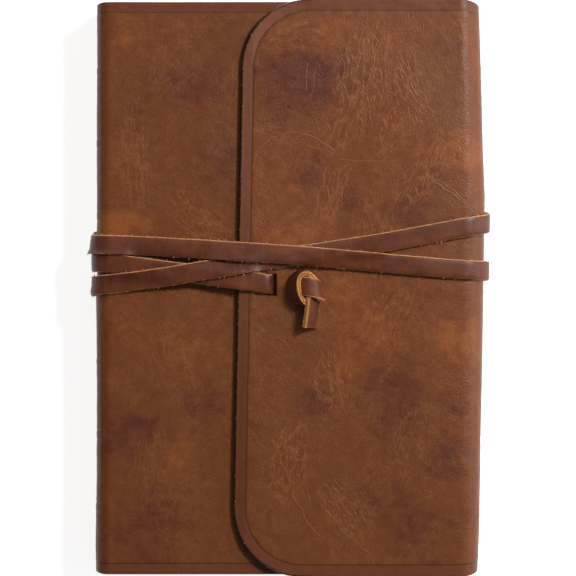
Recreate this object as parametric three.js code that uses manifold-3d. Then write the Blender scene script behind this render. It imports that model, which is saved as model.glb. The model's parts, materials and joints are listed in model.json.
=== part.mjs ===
// A wrapped leather notebook cover, closed and tied, lying on its back.
// Millimetres. X runs from the spine to the fore edge, Y from the tail to the head, Z up.
// The origin is under the middle of the whole object, on the surface that it lies on.

import * as THREE from "three";
import { mergeVertices } from "three/addons/utils/BufferGeometryUtils.js";
import Module from "manifold-3d";

const wasm = await Module();
wasm.setup();

// Driving dimensions
const COVER_WIDTH = 152;
const COVER_HEIGHT = 224;
const HIDE = 2.0;
const LINING = 0.8;
const SLEEVE = 1.0;
const CARD = 0.8;
const CLOTH = 0.5;
const GAP = 0.3;
const SIGNATURES = 6;
const SIGNATURE = 2.2;
const STRAP_WIDTH = 7.3;
const STRAP = 2.2;
const SPINE_RADIUS = 6;
const FORE_RADIUS = 8;
const PANEL_CORNER = 3;
const CURVE_STEPS = 10;

// The layers, counted up from the surface that the closed book lies on
const HIDE_BOTTOM = STRAP;
const BACK_LINING_Z = HIDE_BOTTOM + HIDE + GAP;
const BACK_CARD_Z = BACK_LINING_Z + LINING + GAP;
const BACK_SLEEVE_Z = BACK_CARD_Z + CARD + GAP;
const PAPER_Z = BACK_SLEEVE_Z + SLEEVE + GAP;
const PAPER_TOP = PAPER_Z + SIGNATURES * (SIGNATURE + GAP) - GAP;
const FRONT_SLEEVE_Z = PAPER_TOP + GAP;
const FRONT_CARD_Z = FRONT_SLEEVE_Z + SLEEVE + GAP;
const FRONT_LINING_Z = FRONT_CARD_Z + CARD + GAP;
const FRONT_HIDE_Z = FRONT_LINING_Z + LINING + GAP;
const FRONT_TOP = FRONT_HIDE_Z + HIDE;
const FLAP_LINING_Z = FRONT_TOP + GAP;
const FLAP_HIDE_Z = FLAP_LINING_Z + LINING + GAP;
const FLAP_TOP = FLAP_HIDE_Z + HIDE;

// The planes from the spine in to the paper, and the fore-edge wall
const SPINE_X = -COVER_WIDTH / 2;
const FORE_X = COVER_WIDTH / 2;
const SPINE_FOLD_X = SPINE_X + SPINE_RADIUS;
const FORE_FOLD_X = FORE_X - FORE_RADIUS;
const BAND_X = SPINE_X + HIDE + GAP;
const BAND = 1.0;
const SPINE_LINING_X = BAND_X + BAND + GAP;
const SPINE_CARD_X = SPINE_LINING_X + LINING + GAP;
const SPINE_CLOTH_X = SPINE_CARD_X + CARD + GAP;
const PAPER_X = SPINE_CLOTH_X + CLOTH + GAP;

// The flap that folds over the front
const FLAP_HEIGHT = 226;
const FLAP_EDGE_HEAD_X = -18.5;
const FLAP_EDGE_TAIL_X = -21.7;
const FLAP_CORNER = 27;

// The refill notebook
const CARD_WIDTH = 139.7;
const CARD_HEIGHT = 215.9;
const PAPER_WIDTH = 138;
const PAPER_HEIGHT = 214;
const CLOTH_INSET = 6;

// The raised bands under the spine leather
const BANDS = 7;
const BAND_PITCH = 28.6;
const BAND_WIDTH = 3.6;

// The sleeves inside the covers
const SLEEVE_WIDTH = 62;
const SLEEVE_NOTCH = 10;
const INNER_MARGIN = 2;

// How far the front hide and its linings stop short of the fore-edge wall
const FRONT_INSET = 4.5;
const FRONT_LINING_INSET = 6.5;

// The upright sheets in the spine and the fore edge, between the folds
const SPINE_LINING_BOTTOM = 7;
const FORE_LINING_BOTTOM = 10;
const UPRIGHT_LINING_TOP = 24;
const BAND_BOTTOM = 8;
const BAND_TOP = 23;

// The strap: where each run crosses the spine edge, the fore edge and the flap
const STRAP_REACH = GAP + STRAP;
const LAYER = STRAP + GAP;
const LOW_RUN = { slitY: 1.6, spineY: 10.7 };
const MIDDLE_RUN = { foreY: 26.6, spineY: 0.8 };
const TOP_RUN = { foreY: 7.1, spineY: 16.3 };
const FREE_END_Y = 20.2;
const FREE_END_LENGTH = 58;
const FREE_END_RISE = 8;
const TRACK_DEPTH = 0.3;
const SLIT_X = -6.5;
const KNOT_X = 6.5;
const KNOT_Y = -0.6;
const THONG_BRIDGE = 0.8;
const KNOT_HALF = { x: 5.6, y: 6.4, z: 4.7 };
const TAIL_HALF_WIDTH = 2.6;
const TAIL_LENGTH = 10.5;
const TAIL_OFFSET = 6.8;
const TAIL_TURN = -0.12;

const OUTER_LEFT = SPINE_X - STRAP_REACH - LAYER;
const OUTER_RIGHT = FORE_X + STRAP_REACH;

const hideMaterial = new THREE.MeshStandardMaterial({ color: 0x7a4a2e, roughness: 0.5, metalness: 0 });
const strapMaterial = new THREE.MeshStandardMaterial({ color: 0x5f3021, roughness: 0.45, metalness: 0 });
const liningMaterial = new THREE.MeshStandardMaterial({ color: 0x9a6b45, roughness: 0.85, metalness: 0 });
const cardMaterial = new THREE.MeshStandardMaterial({ color: 0xb8946a, roughness: 0.8, metalness: 0 });
const paperMaterial = new THREE.MeshStandardMaterial({ color: 0xf0e8d8, roughness: 0.9, metalness: 0 });
const clothMaterial = new THREE.MeshStandardMaterial({ color: 0xd8d0c0, roughness: 0.9, metalness: 0 });

const cover = new THREE.Group();
cover.position.x = -(OUTER_LEFT + OUTER_RIGHT) / 2;

function add(name, geometry, material) {
  const mesh = new THREE.Mesh(geometry, material);
  mesh.name = name;
  cover.add(mesh);
  return mesh;
}

function toManifold(geometry) {
  const bare = geometry.clone();
  bare.deleteAttribute("normal");
  bare.deleteAttribute("uv");
  const merged = mergeVertices(bare, 1e-4);
  return new wasm.Manifold(new wasm.Mesh({
    numProp: 3,
    vertProperties: new Float32Array(merged.attributes.position.array),
    triVerts: new Uint32Array(merged.index.array),
  }));
}

function cutAway(geometry, ...cutters) {
  let solid = toManifold(geometry);
  for (const cutter of cutters) {
    solid = solid.subtract(toManifold(cutter));
  }
  const mesh = solid.getMesh();
  const result = new THREE.BufferGeometry();
  result.setAttribute("position", new THREE.BufferAttribute(mesh.vertProperties, 3));
  result.setIndex(new THREE.BufferAttribute(mesh.triVerts, 1));
  result.computeVertexNormals();
  return result;
}

// A block between two corners
function block(x0, x1, y0, y1, z0, z1) {
  const geometry = new THREE.BoxGeometry(x1 - x0, y1 - y0, z1 - z0);
  geometry.translate((x0 + x1) / 2, (y0 + y1) / 2, (z0 + z1) / 2);
  return geometry;
}

// A flat sheet with its outline in X and Y
function sheet(outline, z, thickness) {
  const geometry = new THREE.ExtrudeGeometry(outline, {
    depth: thickness,
    bevelEnabled: false,
    curveSegments: CURVE_STEPS,
  });
  geometry.translate(0, 0, z);
  return geometry;
}

// A wall with its outline in X and Z, running from tail to head
function wall(outline, height) {
  const geometry = new THREE.ExtrudeGeometry(outline, {
    depth: height,
    bevelEnabled: false,
    curveSegments: CURVE_STEPS,
  });
  geometry.rotateX(Math.PI / 2);
  geometry.translate(0, height / 2, 0);
  return geometry;
}

// A rectangle whose two right-hand corners may be rounded
function panelOutline(x0, x1, height, radius = 0) {
  const top = height / 2;
  const outline = new THREE.Shape();
  outline.moveTo(x0, -top);
  outline.lineTo(x1 - radius, -top);
  if (radius > 0) {
    outline.absarc(x1 - radius, -top + radius, radius, -Math.PI / 2, 0);
    outline.absarc(x1 - radius, top - radius, radius, 0, Math.PI / 2);
  } else {
    outline.lineTo(x1, top);
  }
  outline.lineTo(x0, top);
  outline.closePath();
  return outline;
}

// A sheet of leather that turns up from the back, climbs a side and turns in again at the top
function foldOutline(edgeX, foldX, bottom, top) {
  const radius = Math.abs(edgeX - foldX);
  const inner = radius - HIDE;
  const side = Math.sign(edgeX);
  const outline = new THREE.Shape();
  const start = -Math.PI / 2;
  const middle = side > 0 ? 0 : -Math.PI;
  const end = side > 0 ? Math.PI / 2 : -Math.PI * 1.5;
  const clockwise = side < 0;
  outline.moveTo(foldX, bottom);
  outline.absarc(foldX, bottom + radius, radius, start, middle, clockwise);
  outline.lineTo(edgeX, top - radius);
  outline.absarc(foldX, top - radius, radius, middle, end, clockwise);
  outline.lineTo(foldX, top - HIDE);
  outline.absarc(foldX, top - radius, inner, end, middle, !clockwise);
  outline.lineTo(edgeX - side * HIDE, bottom + radius);
  outline.absarc(foldX, bottom + radius, inner, middle, start, !clockwise);
  outline.closePath();
  return outline;
}

// The flap: straight along the fore edge, with two big rounded corners on its free edge
function flapOutline(inset) {
  const top = FLAP_HEIGHT / 2 - inset;
  const radius = FLAP_CORNER - inset;
  const headX = FLAP_EDGE_HEAD_X + inset;
  const tailX = FLAP_EDGE_TAIL_X + inset;
  const right = FORE_FOLD_X - GAP;
  const outline = new THREE.Shape();
  outline.moveTo(right, -top);
  outline.lineTo(right, top);
  outline.lineTo(headX + radius, top);
  outline.absarc(headX + radius, top - radius, radius, Math.PI / 2, Math.PI);
  outline.lineTo(tailX, -top + radius);
  outline.absarc(tailX + radius, -top + radius, radius, Math.PI, Math.PI * 1.5);
  outline.closePath();
  return outline;
}

// A straight run of strap between two points in plan, lying flat at one height
function strapRun(x0, y0, x1, y1, z) {
  const along = new THREE.Vector2(x1 - x0, y1 - y0).normalize();
  const slant = STRAP_WIDTH / 2 / along.x;
  const outline = new THREE.Shape();
  outline.moveTo(x0, y0 - slant);
  outline.lineTo(x1, y1 - slant);
  outline.lineTo(x1, y1 + slant);
  outline.lineTo(x0, y0 + slant);
  outline.closePath();
  return sheet(outline, z, STRAP);
}

// A turn of strap against the spine or the fore edge, between the run below and the run above
function strapTurn(x, lowerY, upperY, upperZ) {
  const half = STRAP_WIDTH / 2;
  const outline = new THREE.Shape();
  outline.moveTo(lowerY - half, STRAP + GAP);
  outline.lineTo(lowerY + half, STRAP + GAP);
  outline.lineTo(upperY + half, upperZ - GAP);
  outline.lineTo(upperY - half, upperZ - GAP);
  outline.closePath();
  const geometry = new THREE.ExtrudeGeometry(outline, { depth: STRAP, bevelEnabled: false });
  geometry.rotateX(Math.PI / 2);
  geometry.rotateZ(Math.PI / 2);
  geometry.translate(x, 0, 0);
  return geometry;
}

function buildHide() {
  const back = panelOutline(SPINE_FOLD_X + GAP, FORE_FOLD_X - GAP, COVER_HEIGHT);
  const track = new THREE.Shape();
  track.moveTo(SPINE_X, MIDDLE_RUN.spineY - STRAP_WIDTH);
  track.lineTo(FORE_X, TOP_RUN.foreY - STRAP_WIDTH);
  track.lineTo(FORE_X, MIDDLE_RUN.foreY + STRAP_WIDTH);
  track.lineTo(SPINE_X + FREE_END_LENGTH, FREE_END_Y + FREE_END_RISE + STRAP_WIDTH);
  track.lineTo(SPINE_X, FREE_END_Y + STRAP_WIDTH);
  track.closePath();
  const backSheet = sheet(back, HIDE_BOTTOM, HIDE);
  const trackCut = sheet(track, HIDE_BOTTOM - 1, 1 + TRACK_DEPTH);
  add("back_cover_leather", cutAway(backSheet, trackCut), hideMaterial);

  const spine = foldOutline(SPINE_X, SPINE_FOLD_X, HIDE_BOTTOM, FRONT_TOP);
  add("spine_leather", wall(spine, COVER_HEIGHT), hideMaterial);

  const front = panelOutline(SPINE_FOLD_X + GAP, FORE_X - FRONT_INSET, COVER_HEIGHT, PANEL_CORNER);
  add("front_cover_leather", sheet(front, FRONT_HIDE_Z, HIDE), hideMaterial);

  const fore = foldOutline(FORE_X, FORE_FOLD_X, HIDE_BOTTOM, FLAP_TOP);
  add("fore_edge_leather", wall(fore, COVER_HEIGHT), hideMaterial);

  const slot = STRAP / 2 + GAP;
  const halfWidth = STRAP_WIDTH / 2 + GAP;
  const slit = block(SLIT_X - slot, SLIT_X + slot, LOW_RUN.slitY - halfWidth, LOW_RUN.slitY + halfWidth,
    FLAP_HIDE_Z - 1, FLAP_TOP + 1);
  const hole = block(KNOT_X - slot, KNOT_X + slot, LOW_RUN.slitY - halfWidth, LOW_RUN.slitY + halfWidth,
    FLAP_HIDE_Z - 1, FLAP_TOP + 1);
  add("flap_leather", cutAway(sheet(flapOutline(0), FLAP_HIDE_Z, HIDE), slit, hole), hideMaterial);
}

function buildLinings() {
  const height = COVER_HEIGHT - 2 * INNER_MARGIN;
  const left = SPINE_FOLD_X + GAP;
  add("back_lining",
    sheet(panelOutline(left, FORE_FOLD_X - GAP, height), BACK_LINING_Z, LINING), liningMaterial);
  add("front_lining",
    sheet(panelOutline(left, FORE_X - FRONT_LINING_INSET, height, PANEL_CORNER), FRONT_LINING_Z, LINING),
    liningMaterial);
  add("spine_lining",
    block(SPINE_LINING_X, SPINE_LINING_X + LINING, -height / 2, height / 2,
      SPINE_LINING_BOTTOM, UPRIGHT_LINING_TOP), liningMaterial);
  add("fore_edge_lining",
    block(FORE_X - HIDE - GAP - LINING, FORE_X - HIDE - GAP, -height / 2, height / 2,
      FORE_LINING_BOTTOM, UPRIGHT_LINING_TOP), liningMaterial);
  const window = block(SLIT_X - STRAP - GAP, KNOT_X + STRAP + GAP,
    LOW_RUN.slitY - STRAP_WIDTH / 2 - GAP, LOW_RUN.slitY + STRAP_WIDTH / 2 + GAP,
    FLAP_LINING_Z - 1, FLAP_HIDE_Z);
  add("flap_lining",
    cutAway(sheet(flapOutline(INNER_MARGIN), FLAP_LINING_Z, LINING), window), liningMaterial);
}

// An inner sleeve, open towards the spine, with a shallow thumb notch in its open edge
function sleeveOutline(right) {
  const top = COVER_HEIGHT / 2 - INNER_MARGIN;
  const left = right - SLEEVE_WIDTH;
  const outline = new THREE.Shape();
  outline.moveTo(left, -top);
  outline.lineTo(right, -top);
  outline.lineTo(right, top);
  outline.lineTo(left, top);
  outline.lineTo(left, SLEEVE_NOTCH);
  outline.absarc(left, 0, SLEEVE_NOTCH, Math.PI / 2, -Math.PI / 2, true);
  outline.closePath();
  return outline;
}

function buildSleeves() {
  add("back_sleeve", sheet(sleeveOutline(FORE_FOLD_X - GAP), BACK_SLEEVE_Z, SLEEVE), liningMaterial);
  add("front_sleeve",
    sheet(sleeveOutline(FORE_X - FRONT_LINING_INSET), FRONT_SLEEVE_Z, SLEEVE), liningMaterial);
}

function buildBands() {
  for (let i = 0; i < BANDS; i++) {
    const y = (i - (BANDS - 1) / 2) * BAND_PITCH;
    add(`spine_band_${i + 1}`,
      block(BAND_X, BAND_X + BAND, y - BAND_WIDTH / 2, y + BAND_WIDTH / 2, BAND_BOTTOM, BAND_TOP),
      liningMaterial);
  }
}

function buildRefill() {
  const right = SPINE_CLOTH_X + CARD_WIDTH;
  add("refill_back_cover",
    sheet(panelOutline(SPINE_CLOTH_X, right, CARD_HEIGHT, PANEL_CORNER), BACK_CARD_Z, CARD), cardMaterial);
  add("refill_front_cover",
    sheet(panelOutline(SPINE_CLOTH_X, right, CARD_HEIGHT, PANEL_CORNER), FRONT_CARD_Z, CARD), cardMaterial);
  add("refill_spine_cover",
    block(SPINE_CARD_X, SPINE_CARD_X + CARD, -CARD_HEIGHT / 2, CARD_HEIGHT / 2,
      BACK_CARD_Z, FRONT_CARD_Z + CARD), cardMaterial);
  add("refill_spine_cloth",
    block(SPINE_CLOTH_X, SPINE_CLOTH_X + CLOTH, -PAPER_HEIGHT / 2 + CLOTH_INSET,
      PAPER_HEIGHT / 2 - CLOTH_INSET, PAPER_Z, PAPER_TOP), clothMaterial);
  for (let i = 0; i < SIGNATURES; i++) {
    const z = PAPER_Z + i * (SIGNATURE + GAP);
    add(`signature_${i + 1}`,
      block(PAPER_X, PAPER_X + PAPER_WIDTH, -PAPER_HEIGHT / 2, PAPER_HEIGHT / 2, z, z + SIGNATURE),
      paperMaterial);
  }
}

function buildStrap() {
  const lowZ = FLAP_TOP + GAP;
  const middleZ = lowZ + LAYER;
  const topZ = middleZ + LAYER;
  const left = SPINE_X - STRAP_REACH;
  const right = OUTER_RIGHT;

  // the three runs over the front
  add("strap_front_1",
    strapRun(left, LOW_RUN.spineY, SLIT_X + STRAP / 2, LOW_RUN.slitY, lowZ), strapMaterial);
  add("strap_front_2", strapRun(left, MIDDLE_RUN.spineY, right, MIDDLE_RUN.foreY, middleZ), strapMaterial);
  add("strap_front_3", strapRun(OUTER_LEFT, TOP_RUN.spineY, right, TOP_RUN.foreY, topZ), strapMaterial);

  // the turns round the spine and round the fore edge
  add("strap_spine_turn_1", strapTurn(left, LOW_RUN.spineY, LOW_RUN.spineY, lowZ), strapMaterial);
  add("strap_spine_turn_2",
    strapTurn(left, MIDDLE_RUN.spineY, MIDDLE_RUN.spineY, middleZ), strapMaterial);
  add("strap_spine_turn_3", strapTurn(OUTER_LEFT, FREE_END_Y, TOP_RUN.spineY, topZ), strapMaterial);
  add("strap_fore_turn_1",
    strapTurn(FORE_X + GAP, MIDDLE_RUN.foreY, MIDDLE_RUN.foreY, middleZ), strapMaterial);
  add("strap_fore_turn_2", strapTurn(FORE_X + GAP, TOP_RUN.foreY, TOP_RUN.foreY, topZ), strapMaterial);

  // the runs under the back, and the free end
  add("strap_back_1", strapRun(left, LOW_RUN.spineY, right, MIDDLE_RUN.foreY, 0), strapMaterial);
  add("strap_back_2", strapRun(left, MIDDLE_RUN.spineY, right, TOP_RUN.foreY, 0), strapMaterial);
  add("strap_free_end",
    strapRun(OUTER_LEFT, FREE_END_Y, OUTER_LEFT + FREE_END_LENGTH, FREE_END_Y + FREE_END_RISE, 0),
    strapMaterial);
}

// The strap's fixed end: a thin bridge under the flap, up through the slit and up through the knot's hole
function buildAnchor() {
  const half = STRAP / 2;
  const profile = new THREE.Shape();
  profile.moveTo(SLIT_X - half, FLAP_LINING_Z);
  profile.lineTo(KNOT_X + half, FLAP_LINING_Z);
  profile.lineTo(KNOT_X + half, FLAP_TOP);
  profile.lineTo(KNOT_X - half, FLAP_TOP);
  profile.lineTo(KNOT_X - half, FLAP_LINING_Z + THONG_BRIDGE);
  profile.lineTo(SLIT_X + half, FLAP_LINING_Z + THONG_BRIDGE);
  profile.lineTo(SLIT_X + half, FLAP_TOP);
  profile.lineTo(SLIT_X - half, FLAP_TOP);
  profile.closePath();
  const anchor = wall(profile, STRAP_WIDTH);
  anchor.translate(0, LOW_RUN.slitY, 0);
  add("strap_anchor", anchor, strapMaterial);

  const knot = new THREE.SphereGeometry(1, 20, 14);
  knot.scale(KNOT_HALF.x, KNOT_HALF.y, KNOT_HALF.z);
  knot.translate(KNOT_X, KNOT_Y, FLAP_TOP + GAP + KNOT_HALF.z);
  add("strap_knot", knot, strapMaterial);

  const tail = block(-TAIL_HALF_WIDTH, TAIL_HALF_WIDTH, -TAIL_LENGTH, 0, 0, STRAP);
  tail.rotateZ(TAIL_TURN);
  tail.translate(KNOT_X, KNOT_Y - TAIL_OFFSET, FLAP_TOP + GAP);
  add("strap_tail", tail, strapMaterial);
}

buildHide();
buildLinings();
buildSleeves();
buildBands();
buildRefill();
buildStrap();
buildAnchor();

export default cover;
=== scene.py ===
import json
import math

import bpy
import numpy as np
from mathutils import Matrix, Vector
from mathutils.geometry import delaunay_2d_cdt

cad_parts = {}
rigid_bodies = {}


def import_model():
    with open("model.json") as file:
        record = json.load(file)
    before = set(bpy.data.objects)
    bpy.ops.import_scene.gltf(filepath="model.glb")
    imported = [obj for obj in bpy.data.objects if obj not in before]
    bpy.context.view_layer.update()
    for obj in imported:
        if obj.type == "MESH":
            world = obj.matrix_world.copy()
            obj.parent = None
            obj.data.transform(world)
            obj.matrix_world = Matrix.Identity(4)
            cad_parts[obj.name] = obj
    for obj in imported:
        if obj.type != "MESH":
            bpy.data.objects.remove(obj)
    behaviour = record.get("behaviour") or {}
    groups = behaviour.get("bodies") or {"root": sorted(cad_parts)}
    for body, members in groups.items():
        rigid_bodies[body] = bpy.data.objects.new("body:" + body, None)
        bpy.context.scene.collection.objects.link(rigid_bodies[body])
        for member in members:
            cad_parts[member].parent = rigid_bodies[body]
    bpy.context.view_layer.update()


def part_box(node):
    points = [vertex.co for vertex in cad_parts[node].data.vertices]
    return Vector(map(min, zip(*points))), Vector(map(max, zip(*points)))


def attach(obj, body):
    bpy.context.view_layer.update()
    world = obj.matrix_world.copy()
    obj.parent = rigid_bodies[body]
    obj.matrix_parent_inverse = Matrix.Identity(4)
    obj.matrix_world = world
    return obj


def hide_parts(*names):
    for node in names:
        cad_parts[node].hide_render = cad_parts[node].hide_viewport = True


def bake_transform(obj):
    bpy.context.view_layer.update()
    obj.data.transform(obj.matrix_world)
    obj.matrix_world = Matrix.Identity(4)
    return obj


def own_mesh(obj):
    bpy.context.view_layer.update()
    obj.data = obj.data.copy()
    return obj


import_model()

# ---------------------------------------------------------------- places, in millimetres
# X = 0 is the middle of the cover here. The frame's own X is a little further left, because the strap
# stands further out at the spine, so metres() adds the difference.
M = 0.001
MIDDLE_X = (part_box("spine_leather")[0].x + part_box("fore_edge_leather")[1].x) / 2 / M


def cad_span(name):
    """The low and the high corner of a CAD node's box, in cover millimetres."""
    return [(corner.x / M - MIDDLE_X, corner.y / M, corner.z / M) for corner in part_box(name)]


(SPINE_X, _, BACK_Z), (SPINE_FOLD_X, HALF_HEIGHT, FRONT_Z) = cad_span("spine_leather")
(FORE_FOLD_X, _, _), (FORE_X, _, FLAP_Z) = cad_span("fore_edge_leather")
FRONT_EDGE_X = cad_span("front_cover_leather")[1][0]
SPINE_RADIUS = SPINE_FOLD_X - SPINE_X
FORE_RADIUS = FORE_X - FORE_FOLD_X
# Thicknesses of the leathers
HIDE = 2.0
LINING = 0.8
# The flap: how far it stands past the covers at head and tail, its round corners and its slanted free edge
HEAD_OVERHANG = 1.3
TAIL_OVERHANG = 0.7
HEAD_SPARE = 0.5
FLAP_CORNER = 27.0
FLAP_EDGE_HEAD_X = -18.5
FLAP_EDGE_TAIL_X = -21.7
EDGE_DROOP = 0.75
HEAD_RIM_Y = 108.0
# The creased border line's distance from the hide's edge, on the front and on the back
CREASE_INSETS = (4.2, 4.6)

# The strap, the slit that it comes up through and the knot
STRAP_WIDTH = 7.3
STRAP = 2.1
SLIT_X = -7.3
SLIT_Y = 1.6
SLIT_HALF = 4.0
KNOT_X = 6.5
KNOT_Y = -0.6


def metres(points):
    """Points in cover millimetres, as metres in the row frame."""
    out = np.array(points, float).reshape(-1, 3) * M
    out[:, 0] += MIDDLE_X * M
    return out


def spot(x, y, z):
    return tuple(metres([x, y, z])[0])


def smooth(t):
    t = np.clip(t, 0.0, 1.0)
    return t * t * (3 - 2 * t)


def running_length(points):
    """How far along a line each of its points is."""
    return np.concatenate([[0], np.cumsum(np.linalg.norm(np.diff(points, axis=0), axis=1))])


def value_noise(x, y, seed):
    """Smooth noise from -1 to 1 with a period of one unit between its lattice points."""
    table = np.random.RandomState(seed).rand(128, 128) * 2 - 1
    x, y = np.asarray(x, float), np.asarray(y, float)
    i, j = np.floor(x).astype(int), np.floor(y).astype(int)
    a, b = smooth(x - i), smooth(y - j)
    i, j = i % 127, j % 127
    low = table[i, j] * (1 - a) + table[i + 1, j] * a
    high = table[i, j + 1] * (1 - a) + table[i + 1, j + 1] * a
    return low * (1 - b) + high * b


# ---------------------------------------------------------------- the hide's section
class Section:
    """A line in X and Z made of straight stretches and arcs, measured along its length."""

    def __init__(self, points):
        self.points = np.array(points, float)
        step = np.diff(self.points, axis=0)
        self.length = np.concatenate([[0], np.cumsum(np.hypot(step[:, 0], step[:, 1]))])

    def at(self, s):
        x = np.interp(s, self.length, self.points[:, 0])
        z = np.interp(s, self.length, self.points[:, 1])
        return x, z

    def normal(self, s):
        """Unit vector to the outside, which is on the right of the direction of travel."""
        reach = 0.25
        ax, az = self.at(np.asarray(s) - reach)
        bx, bz = self.at(np.asarray(s) + reach)
        tx, tz = bx - ax, bz - az
        size = np.hypot(tx, tz)
        return tz / size, -tx / size


def arc(cx, cz, radius, start, end, steps=24):
    """Points on an arc, with its angles in degrees from +X towards +Z."""
    angles = np.radians(np.linspace(start, end, steps))
    return [(cx + radius * math.cos(a), cz + radius * math.sin(a)) for a in angles]


spine_top = FRONT_Z - SPINE_RADIUS
spine_bottom = BACK_Z + SPINE_RADIUS
fore_bottom = BACK_Z + FORE_RADIUS
fore_top = FLAP_Z - FORE_RADIUS


def round_the_book(start):
    """The section from an angle on the front's fold, round the spine, the back and the fore edge."""
    return (arc(SPINE_FOLD_X, spine_top, SPINE_RADIUS, start, 180)
            + arc(SPINE_FOLD_X, spine_bottom, SPINE_RADIUS, 180, 270)
            + arc(FORE_FOLD_X, fore_bottom, FORE_RADIUS, -90, 0)
            + arc(FORE_FOLD_X, fore_top, FORE_RADIUS, 0, 90))


hide_line = Section([(FRONT_EDGE_X, FRONT_Z)] + round_the_book(90) + [(-40.0, FLAP_Z)])
quarter = math.pi / 2
S_SPINE_TOP = FRONT_EDGE_X - SPINE_FOLD_X
S_SPINE = S_SPINE_TOP + quarter * SPINE_RADIUS
S_SPINE_MID = S_SPINE + (spine_top - spine_bottom) / 2
S_SPINE_END = S_SPINE + spine_top - spine_bottom
S_BACK = S_SPINE_END + quarter * SPINE_RADIUS
S_BACK_MID = S_BACK + (FORE_FOLD_X - SPINE_FOLD_X) / 2
S_FORE_FOLD = S_BACK + FORE_FOLD_X - SPINE_FOLD_X
S_FORE = S_FORE_FOLD + quarter * FORE_RADIUS
S_FORE_MID = S_FORE + (fore_top - fore_bottom) / 2
S_FORE_END = S_FORE + fore_top - fore_bottom
S_FLAP = S_FORE_END + quarter * FORE_RADIUS


def bump(s, middle, half):
    return smooth(1 - np.abs(np.asarray(s) - middle) / half)


def head_y(s):
    """Where the hide ends towards the head: the flap is cut a little longer, and both walls pull in."""
    flap = smooth((np.asarray(s) - S_FORE_FOLD) / (S_FLAP - S_FORE_FOLD))
    pull = 1.3 * bump(s, S_SPINE_MID, 14) + 2.9 * bump(s, S_FORE_MID, 19)
    return HALF_HEIGHT + HEAD_SPARE + (HEAD_OVERHANG - HEAD_SPARE) * flap - pull


def tail_y(s):
    flap = smooth((np.asarray(s) - S_FORE_FOLD) / (S_FLAP - S_FORE_FOLD))
    pull = 1.8 * bump(s, S_SPINE_MID, 14) + 2.4 * bump(s, S_FORE_MID, 19)
    return -(HALF_HEIGHT + TAIL_OVERHANG * flap - pull)


def crease_inset(s):
    return np.interp(s, [S_SPINE_TOP, S_BACK], CREASE_INSETS)


def fore_bulge(y):
    """How far the fore edge stands out or in along its height: slack in the middle, tight at the head."""
    heights = [-112, -75, -40, 0, 36, 68, 112]
    return np.interp(y, heights, [-1.7, -0.8, -0.3, 0.2, 0.9, 0.0, -1.3])


def flap_s(x):
    """The length along the hide for a place on the closed flap."""
    return S_FLAP + FORE_FOLD_X - x


def flap_free_x(y):
    """Where the flap's free edge is: it slants a little from its head corner to its tail corner."""
    straight = HALF_HEIGHT - FLAP_CORNER
    share = np.clip((straight - np.asarray(y, float)) / (2 * straight), 0, 1)
    return FLAP_EDGE_HEAD_X + (FLAP_EDGE_TAIL_X - FLAP_EDGE_HEAD_X) * share


def swell(s, y):
    """How far the hide stands out from its plain section, from the soft pages and the hand-bent leather."""
    sag = 0.35 * value_noise(s / 46 + 3, y / 52, 5) + 0.12 * value_noise(s / 17, y / 19, 6)
    puff = 0.9 * bump(s, S_FLAP + 14, 40) * smooth((HALF_HEIGHT + 2 - np.abs(y)) / 50)
    flat_back = smooth((s - S_SPINE_END) / 9) * smooth((S_FORE - s) / 9)
    on_flap = s > S_FORE_MID
    x = np.where(on_flap, FORE_FOLD_X - (s - S_FLAP), FRONT_EDGE_X - s)
    from_edge = x - flap_free_x(y)
    calm = 1 - 0.8 * smooth(1 - np.abs(from_edge) / 14)
    droop = np.where(on_flap, EDGE_DROOP * smooth(1 - from_edge / 5), 0)
    return (sag + puff) * smooth(s / 20) * (1 - flat_back) * calm - droop


def place(s, y, depth):
    """The point of the hide at length s and height y, depth millimetres in from its outer face."""
    s, y, depth = (np.asarray(v, float) for v in np.broadcast_arrays(s, y, depth))
    x, z = hide_line.at(s)
    nx, nz = hide_line.normal(s)
    out = swell(s, y) - depth
    x = x + nx * out + fore_bulge(y) * smooth((x - 25) / 50)
    z = z + nz * out
    return np.stack([x, y, z], -1)


# ---------------------------------------------------------------- meshes
def make_object(name, vertices, faces, materials, face_material, sharp=42):
    mesh = bpy.data.meshes.new(name)
    mesh.from_pydata([tuple(v) for v in vertices], [], [tuple(int(i) for i in f) for f in faces])
    mesh.validate()
    for material in materials:
        mesh.materials.append(material)
    mesh.polygons.foreach_set("material_index", np.asarray(face_material, np.int32))
    mesh.polygons.foreach_set("use_smooth", np.ones(len(mesh.polygons), bool))
    mesh.set_sharp_from_angle(angle=math.radians(sharp))
    obj = bpy.data.objects.new(name, mesh)
    bpy.context.scene.collection.objects.link(obj)
    return obj


def keep_value(obj, name, values):
    attribute = obj.data.attributes.new(name, "FLOAT", "POINT")
    attribute.data.foreach_set("value", np.asarray(values, np.float32))


def keep_place(obj, name, values):
    attribute = obj.data.attributes.new(name, "FLOAT_VECTOR", "POINT")
    attribute.data.foreach_set("vector", np.asarray(values, np.float32).ravel())


def signed_volume(vertices, faces):
    """Six times the volume inside the faces: below 0 if they face inwards."""
    corners = np.array([(f[0], b, c) for f in faces for b, c in zip(f[1:], f[2:])])
    a, b, c = (vertices[corners[:, k]] for k in range(3))
    return np.einsum("ij,ij->", a, np.cross(b, c))


def edge_loops(faces):
    """The boundary loops of a patch, in the direction that its faces turn."""
    seen = {}
    for face in faces:
        for a, b in zip(face, face[1:] + face[:1]):
            seen[(a, b)] = True
    follow = {a: b for (a, b) in seen if (b, a) not in seen}
    loops = []
    while follow:
        start, here = next(iter(follow.items()))
        loop = [start]
        del follow[start]
        while here != start:
            loop.append(here)
            here = follow.pop(here)
        loops.append(loop)
    return loops


def tube_faces(rows, size):
    """The faces of a tube made of rings with size points each, without its two ends."""
    faces = []
    for i in range(rows - 1):
        for k in range(size):
            a, b = i * size + k, i * size + (k + 1) % size
            faces.append([a, b, b + size, a + size])
    return faces


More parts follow.
